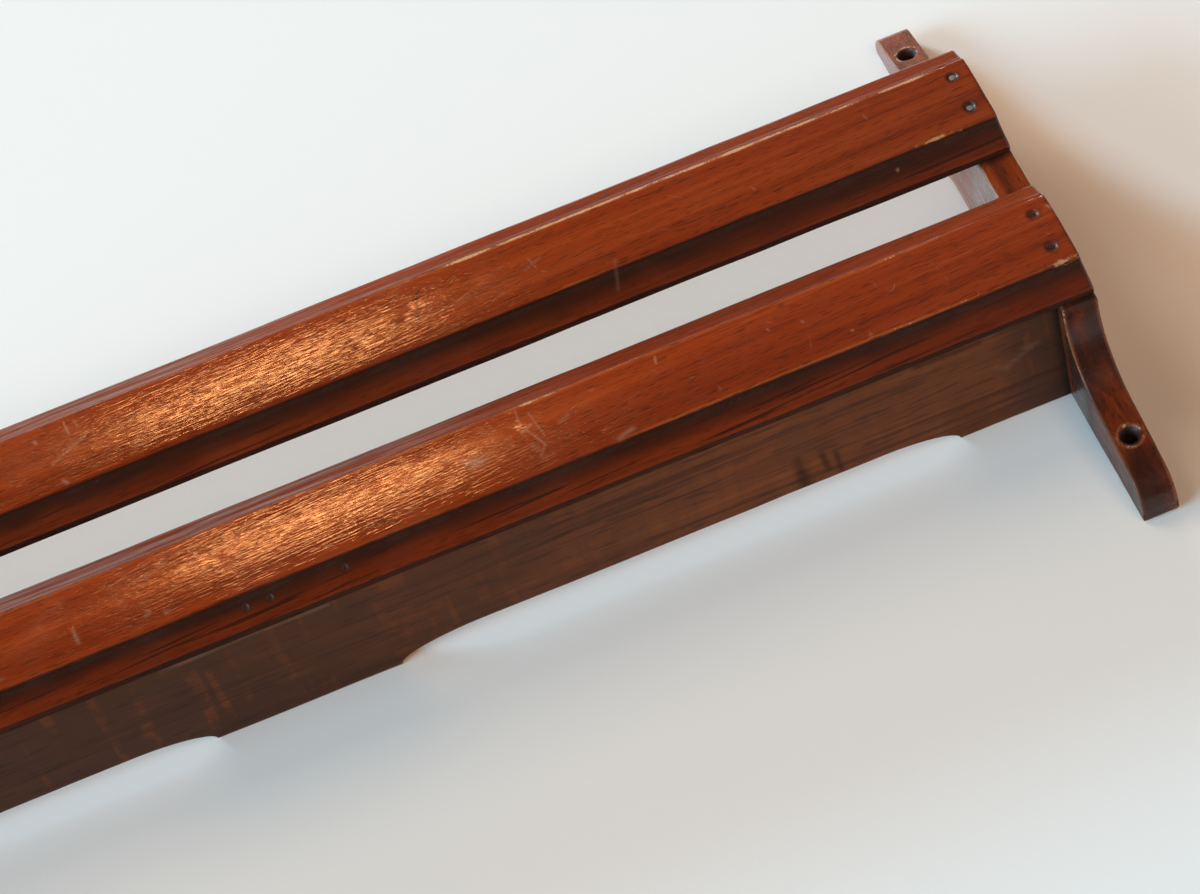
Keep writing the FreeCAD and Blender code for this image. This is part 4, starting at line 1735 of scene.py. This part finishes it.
@dataclass
class CutNail(RackPiece):
    """A cut nail: a hammered, slightly domed head on a square shank that tapers to a blunt point."""

    slot: ClassVar[Slot] = Slot.NAIL
    name: str
    rubbed: float
    head_thickness: float = 0.9
    shank_share: float = 0.59
    point_share: float = 0.30
    sides: int = 28
    dent_share: float = 0.10
    tilt_depth: float = 0.10

    def __post_init__(self) -> None:
        """Reads the nail's place, length and direction from the frame: its long side is its shank."""
        low, high = node_box(self.name)
        size = high - low
        self.axis = int(np.argmax(size))
        self.length = size[self.axis]
        self.radius = (size.sum() - self.length) / 4
        self.middle = (low + high) / 2
        self.inwards = 1 if self.axis == 1 else -int(math.copysign(1, self.middle[0]))
        self.head = low[self.axis] if self.inwards > 0 else high[self.axis]
        self.seed = sum(ord(letter) * place for place, letter in enumerate(self.name, start=1))

    def build(self) -> bpy.types.Mesh:
        """Rings down the nail: a dome, the head's rim, the neck and the shank.

        A ring's reach at each angle goes from a circle to a square as its power rises from 2 to 9.

        Returns:
            The mesh, with the top of its head marked as worn.
        """
        thick, shank, point = self.head_thickness, self.shank_share, self.point_share
        down = np.array([0.05, 0.10, 0.17, 0.30, 0.55, thick - 0.1, thick, thick + 0.1, thick + 0.4,
                         self.length - 0.4, self.length])
        reach = np.array([0.35, 0.62, 0.84, 0.97, 1.0, 0.97, 0.80, shank, shank, point, point * 0.7])
        power = np.array([2, 2, 2.2, 2.5, 2.6, 2.6, 3, 6, 9, 9, 9.0])[:, None]
        turn = np.linspace(0, 2 * np.pi, self.sides, endpoint=False)
        flat = (np.abs(np.cos(turn)) ** power + np.abs(np.sin(turn)) ** power) ** (-1 / power)
        dent = 1 - self.dent_share * smooth_noise(turn * 1.3, turn * 0 + 0.5, self.seed)
        spread = self.radius * reach[:, None] * np.minimum(flat, 1.25) * np.where(power < 5, dent, 1)
        spread = np.minimum(spread, self.radius)
        leaning = self.tilt_depth * (1 + np.cos(turn + self.seed)) * reach[:, None]
        tilt = np.where(power < 3, leaning, 0)
        depth = np.minimum(down[:, None] + tilt, self.length)
        others = [axis for axis in range(3) if axis != self.axis]
        rings = np.empty((*spread.shape, 3))
        rings[..., self.axis] = self.head + self.inwards * depth
        rings[..., others[0]] = self.middle[others[0]] + spread * np.cos(turn)
        rings[..., others[1]] = self.middle[others[1]] + spread * np.sin(turn)
        mesh = closed_tube(self.name, rings)
        along = (points_of(mesh)[:, self.axis] - self.head) * self.inwards
        mark(mesh, Mark.WEAR, self.rubbed * (1 - step_between(along, 0.15, 0.5)))
        return mesh


UPPER_SCUFFS = (
    Scuff((88.4, 6.6), (87.6, 4.4), 0.7, 1.0, Mark.DEEP),
    Scuff((86.8, 1.4), (87.4, -0.4), 0.6, 0.9, Mark.DEEP),
    Scuff((86.2, -2.6), (85.6, -5.0), 0.7, 1.0, Mark.DEEP),
    Scuff((89.4, -9.2), (87.4, -10.4), 0.6, 0.9, Mark.DEEP),
    Scuff((90.6, 1.2), (90.0, -1.6), 0.5, 0.8, Mark.DEEP),
    Scuff((84.2, -8.0), (83.4, -8.4), 0.5, 0.8, Mark.DEEP),
    Scuff((127.5, -2.2), (134.3, 0.9), 0.40, 0.26), Scuff((130.2, 2.4), (131.6, -3.4), 0.35, 0.24),
    Scuff((158.6, -12.6), (155.4, -22.5), 0.60, 0.14), Scuff((-40.0, 2.4), (-54.0, -4.6), 0.40, 0.45),
    Scuff((-46.0, 13.0), (-45.2, 6.2), 0.40, 0.45), Scuff((-42.4, 12.0), (-41.4, 8.0), 0.40, 0.35),
    Scuff((-58.0, 9.0), (-57.5, 8.0), 0.7, 0.6), Scuff((-52.0, -13.0), (-51.0, -14.4), 0.7, 0.55),
    Scuff((264.0, -20.2), (264.4, -19.8), 0.4, 0.70), Scuff((214.0, -6.0), (214.6, -6.8), 0.4, 0.30),
    Scuff((280.0, -2.0), (303.0, -4.5), 3.6, 0.45, Mark.DEEP),
    Scuff((262.0, 6.5), (262.6, 4.5), 0.35, 0.28),
)

LOWER_SCUFFS = (
    Scuff((104.5, 13.6), (104.1, 5.0), 0.40, 0.35), Scuff((103.4, 2.6), (107.6, 4.6), 0.45, 0.60),
    Scuff((108.4, 9.6), (110.6, -2.0), 0.40, 0.28), Scuff((105.4, 3.2), (109.6, -6.0), 0.40, 0.38),
    Scuff((109.6, -6.0), (106.6, -10.0), 0.45, 0.35), Scuff((83.0, -1.0), (86.4, -2.4), 2.0, 0.55),
    Scuff((133.8, -15.0), (139.4, -13.4), 0.9, 0.40), Scuff((156.6, 12.6), (156.0, 9.4), 0.40, 0.55),
    Scuff((117.0, 0.6), (120.6, 2.2), 0.7, 0.25), Scuff((303.4, 9.6), (304.2, 8.0), 0.5, 0.60),
    Scuff((-64.0, -4.0), (-63.4, -10.0), 0.7, 0.40), Scuff((208.0, 2.0), (208.4, 1.6), 0.4, 0.45),
    Scuff((222.0, -9.6), (222.6, -10.0), 0.4, 0.50), Scuff((196.0, 4.4), (196.4, 4.0), 0.4, 0.40),
    Scuff((252.0, -25.5), (252.4, -25.7), 0.4, 0.45), Scuff((212.0, -24.8), (212.6, -25.2), 0.4, 0.40),
)


def both_rails(nails: Sequence[str]) -> tuple[MouldedRail, MouldedRail]:
    """The two rails, each with its own nicks, rubbed stretches, scuffs, pooled varnish with painted shade,
    painted sheen and nails.

    Args:
        nails: The names of all nails and brads.

    Returns:
        The upper and the lower rail.
    """
    upper = MouldedRail(
        "upper_rail", seed=101, fasteners=[name for name in nails if name.startswith("upper_rail")],
        nicks=(Nick(281.0, Ridge.LOWER, 17.0, 1.0, 0.5), Nick(296.0, Ridge.UPPER, 5.0, 0.9, 0.5)),
        rubbed=((Ridge.UPPER, 104.0, 262.0), (Ridge.UPPER, 272.0, 290.0), (Ridge.LOWER, 132.0, 146.0)),
        scuffs=UPPER_SCUFFS,
        pool_and_shade_shares=(1, 1, 0.95, 0.90, 0.87, 0.83, 0.77, 0.71, 0.68, 0.68, 0.60, 0.48),
        foot_sheen=0.08, end_dim=0.28, pit_depth=0.74, pit_dirt=0.98)
    lower = MouldedRail(
        "lower_rail", seed=211,
        fasteners=[name for name in nails if name.startswith("lower_rail") or "_brad_" in name],
        nicks=(Nick(298.5, Ridge.LOWER, 12.0, 1.6, 0.7), Nick(302.5, Ridge.UPPER, 4.0, 1.0, 0.6)),
        rubbed=((Ridge.UPPER, 105.0, 119.0), (Ridge.LOWER, 140.0, 300.0)),
        scuffs=LOWER_SCUFFS,
        pool_and_shade_shares=(1, 1, 0.91, 0.83, 0.78, 0.73, 0.68, 0.64, 0.61, 0.64, 0.60, 0.48),
        foot_sheen=0.0, end_dim=0.0, pit_depth=0.62, pit_dirt=0.72)
    return upper, lower


# Studio


@dataclass(frozen=True)
class Lamp:
    """A soft rectangular lamp. Places and sizes are in metres."""

    name: str
    place: Place
    size: tuple[float, float]
    power: float
    colour: Colour
    shines: bool = True
    fills: bool = True
    aim: Place = (0.05, 0.0, 0.0)

    def light(self) -> None:
        """Hangs the lamp and turns it to its aim."""
        data = bpy.data.lights.new(self.name, "AREA")
        data.shape = "RECTANGLE"
        data.size, data.size_y = self.size
        data.energy = self.power
        data.color = self.colour
        lamp = bpy.data.objects.new(self.name, data)
        lamp.location = self.place
        lamp.visible_glossy = self.shines
        lamp.visible_diffuse = self.fills
        lamp.visible_camera = False
        lamp.rotation_euler = (Vector(self.aim) - Vector(self.place)).to_track_quat("-Z", "Y").to_euler()
        bpy.context.collection.objects.link(lamp)


@dataclass(frozen=True)
class Studio:
    """The camera, the pale pew back behind the rack, the lamps and the world."""

    camera_place: Place = (0.07327, -1.00224, -0.80937)
    camera_right: Place = (0.92666, 0.20172, -0.31719)
    camera_up: Place = (0.37330, -0.59292, 0.71351)
    focal_pixels: float = 3519.23
    image_width: float = 1200.0
    sensor_width: float = 36.0
    wall_size: float = 8.0
    wall_gap: float = 0.0003
    wall_colour: Colour = (0.85, 0.85, 0.85)
    lamps: tuple[Lamp, ...] = (
        Lamp("left_window", (-13.50, -5.62, -3.38), (8.0, 9.75), 2800.0, (0.42, 0.79, 1.0)),
        Lamp("far_window", (-8.40, -4.38, 11.55), (3.0, 3.5), 2360.0, (0.47, 0.81, 1.0)),
        Lamp("low_fill", (0.0, -0.42, 3.98), (3.5, 0.8), 123.0, (1.0, 0.54, 0.25), shines=False),
        Lamp("high_fill", (-3.84, -6.40, 4.16), (4.2, 4.2), 225.0, (1.0, 0.80, 0.60), shines=False),
        Lamp("front_fill", (0.96, -5.44, -4.16), (3.8, 3.8), 174.0, (1.0, 0.70, 0.50), shines=False),
        Lamp("side_fill", (-12.50, -2.50, 5.50), (6.5, 4.0), 525.0, (1.0, 0.54, 0.25), shines=False),
        Lamp("warm_lamp", (-0.020, -1.06, 0.86), (0.20, 0.16), 3.6, (1.0, 0.45, 0.16), fills=False),
        Lamp("back_fill", (0.1, 1.8, 0.5), (1.5, 1.0), 9.0, (1.0, 0.98, 0.95)),
    )
    room: Colour = (0.090, 0.048, 0.024)
    sides: Colour = (0.70, 0.70, 0.70)
    side_range: tuple[float, float] = (0.25, 0.65)
    height_range: tuple[float, float] = (0.15, 0.45)

    def set_camera(self) -> None:
        """Places the camera as the photograph was taken: its right and up directions give its turn."""
        data = bpy.data.cameras.new("camera")
        data.sensor_fit = "HORIZONTAL"
        data.sensor_width = self.sensor_width
        data.lens = self.focal_pixels / self.image_width * self.sensor_width
        data.clip_start = 0.01
        camera = bpy.data.objects.new("camera", data)
        right = Vector(self.camera_right).normalized()
        back = right.cross(Vector(self.camera_up)).normalized()
        turn = Matrix((right, back.cross(right), back)).transposed()
        camera.matrix_world = Matrix.Translation(self.camera_place) @ turn.to_4x4()
        bpy.context.collection.objects.link(camera)
        bpy.context.scene.camera = camera

    def set_wall(self) -> None:
        """A large pale sheet just behind the rack, which is clear from behind and to light from behind."""
        reach = np.array([-self.wall_size / 2, self.wall_size / 2])
        x, z = np.meshgrid(reach, reach)
        points = np.stack([x.ravel(), np.full(4, self.wall_gap), z.ravel()], axis=1)
        mesh = bpy.data.meshes.new("pew_back")
        mesh.from_pydata(points.tolist(), [], [(0, 1, 3, 2)])
        made, sheet = new_material("pale_wall")
        matt = sheet.node("ShaderNodeBsdfDiffuse", {"Color": (*self.wall_colour, 1.0)})
        clear = sheet.node("ShaderNodeBsdfTransparent")
        behind = sheet.node("ShaderNodeNewGeometry").outputs["Backfacing"]
        shadow = sheet.node("ShaderNodeLightPath").outputs["Is Shadow Ray"]
        through = sheet.most(behind, shadow)
        mixed = sheet.node("ShaderNodeMixShader", {0: through, 1: matt.outputs[0], 2: clear.outputs[0]})
        sheet.node("ShaderNodeOutputMaterial", {"Surface": mixed.outputs[0]})
        mesh.materials.append(made)
        wall = bpy.data.objects.new("pew_back", mesh)
        bpy.context.collection.objects.link(wall)

    def set_world(self) -> None:
        """A dim room whose two sides look pale, low down, to the eye and in reflections."""
        world = bpy.data.worlds.new("room")
        world.use_nodes = True
        sheet = NodeSheet(world.node_tree)
        way = sheet.node("ShaderNodeTexCoord").outputs["Generated"]
        parts = sheet.node("ShaderNodeSeparateXYZ", {0: way}).outputs
        sideways = sheet.band(sheet.math("ABSOLUTE", parts[0]), *self.side_range)
        pale = sheet.times(sideways, sheet.band(parts[2], *self.height_range, 1.0, 0.0))
        ray = sheet.node("ShaderNodeLightPath").outputs
        seen = sheet.most(ray["Is Camera Ray"], ray["Is Glossy Ray"])
        seen = sheet.most(seen, ray["Is Transmission Ray"])
        shown = sheet.mix(sheet.times(pale, seen), self.room, self.sides)
        glow = sheet.node("ShaderNodeBackground", {"Color": shown})
        sheet.node("ShaderNodeOutputWorld", {"Surface": glow.outputs[0]})
        bpy.context.scene.world = world

    def build(self) -> None:
        """Sets up the whole studio."""
        bpy.context.scene.view_settings.view_transform = "Standard"
        self.set_camera()
        self.set_wall()
        self.set_world()
        for lamp in self.lamps:
            lamp.light()


def main() -> None:
    """Sets up the studio, then builds and dresses every piece of the rack."""
    logging.basicConfig(level=logging.INFO)
    Studio().build()
    groups = {"open_grain": open_grain_group(), "worn_edge": worn_edge_group(),
              "old_grime": old_grime_group(), "hairlines": hairline_group()}
    rail_woods = [finish.material(groups) for finish in (RAIL_FINISH, RAIL_UNDERSIDE_SHADE_FINISH, RAIL_FOOT_FINISH)]
    bracket_wood, shelf_wood = BRACKET_FINISH.material(groups), SHELF_FINISH.material(groups)
    iron, covered_iron = IronFinish().material(), VARNISHED_IRON.material()
    nails = [name for name in sorted(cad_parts) if "_nail_" in name or "_brad_" in name]
    for rail in both_rails(nails):
        rail.dress(*rail_woods)
    for side, seed in ((Side.LEFT, 31), (Side.RIGHT, 57)):
        held = [name for name in nails if name.startswith("shelf_nail_" + side.value)]
        EndBracket(side.value + "_end_bracket", seed, held).dress(bracket_wood)
    ShelfBoard().dress(shelf_wood)
    for name in nails:
        bright = name.startswith("upper")
        CutNail(name, rubbed=float(bright)).dress(iron if bright else covered_iron)


if __name__ == "__main__":
    main()
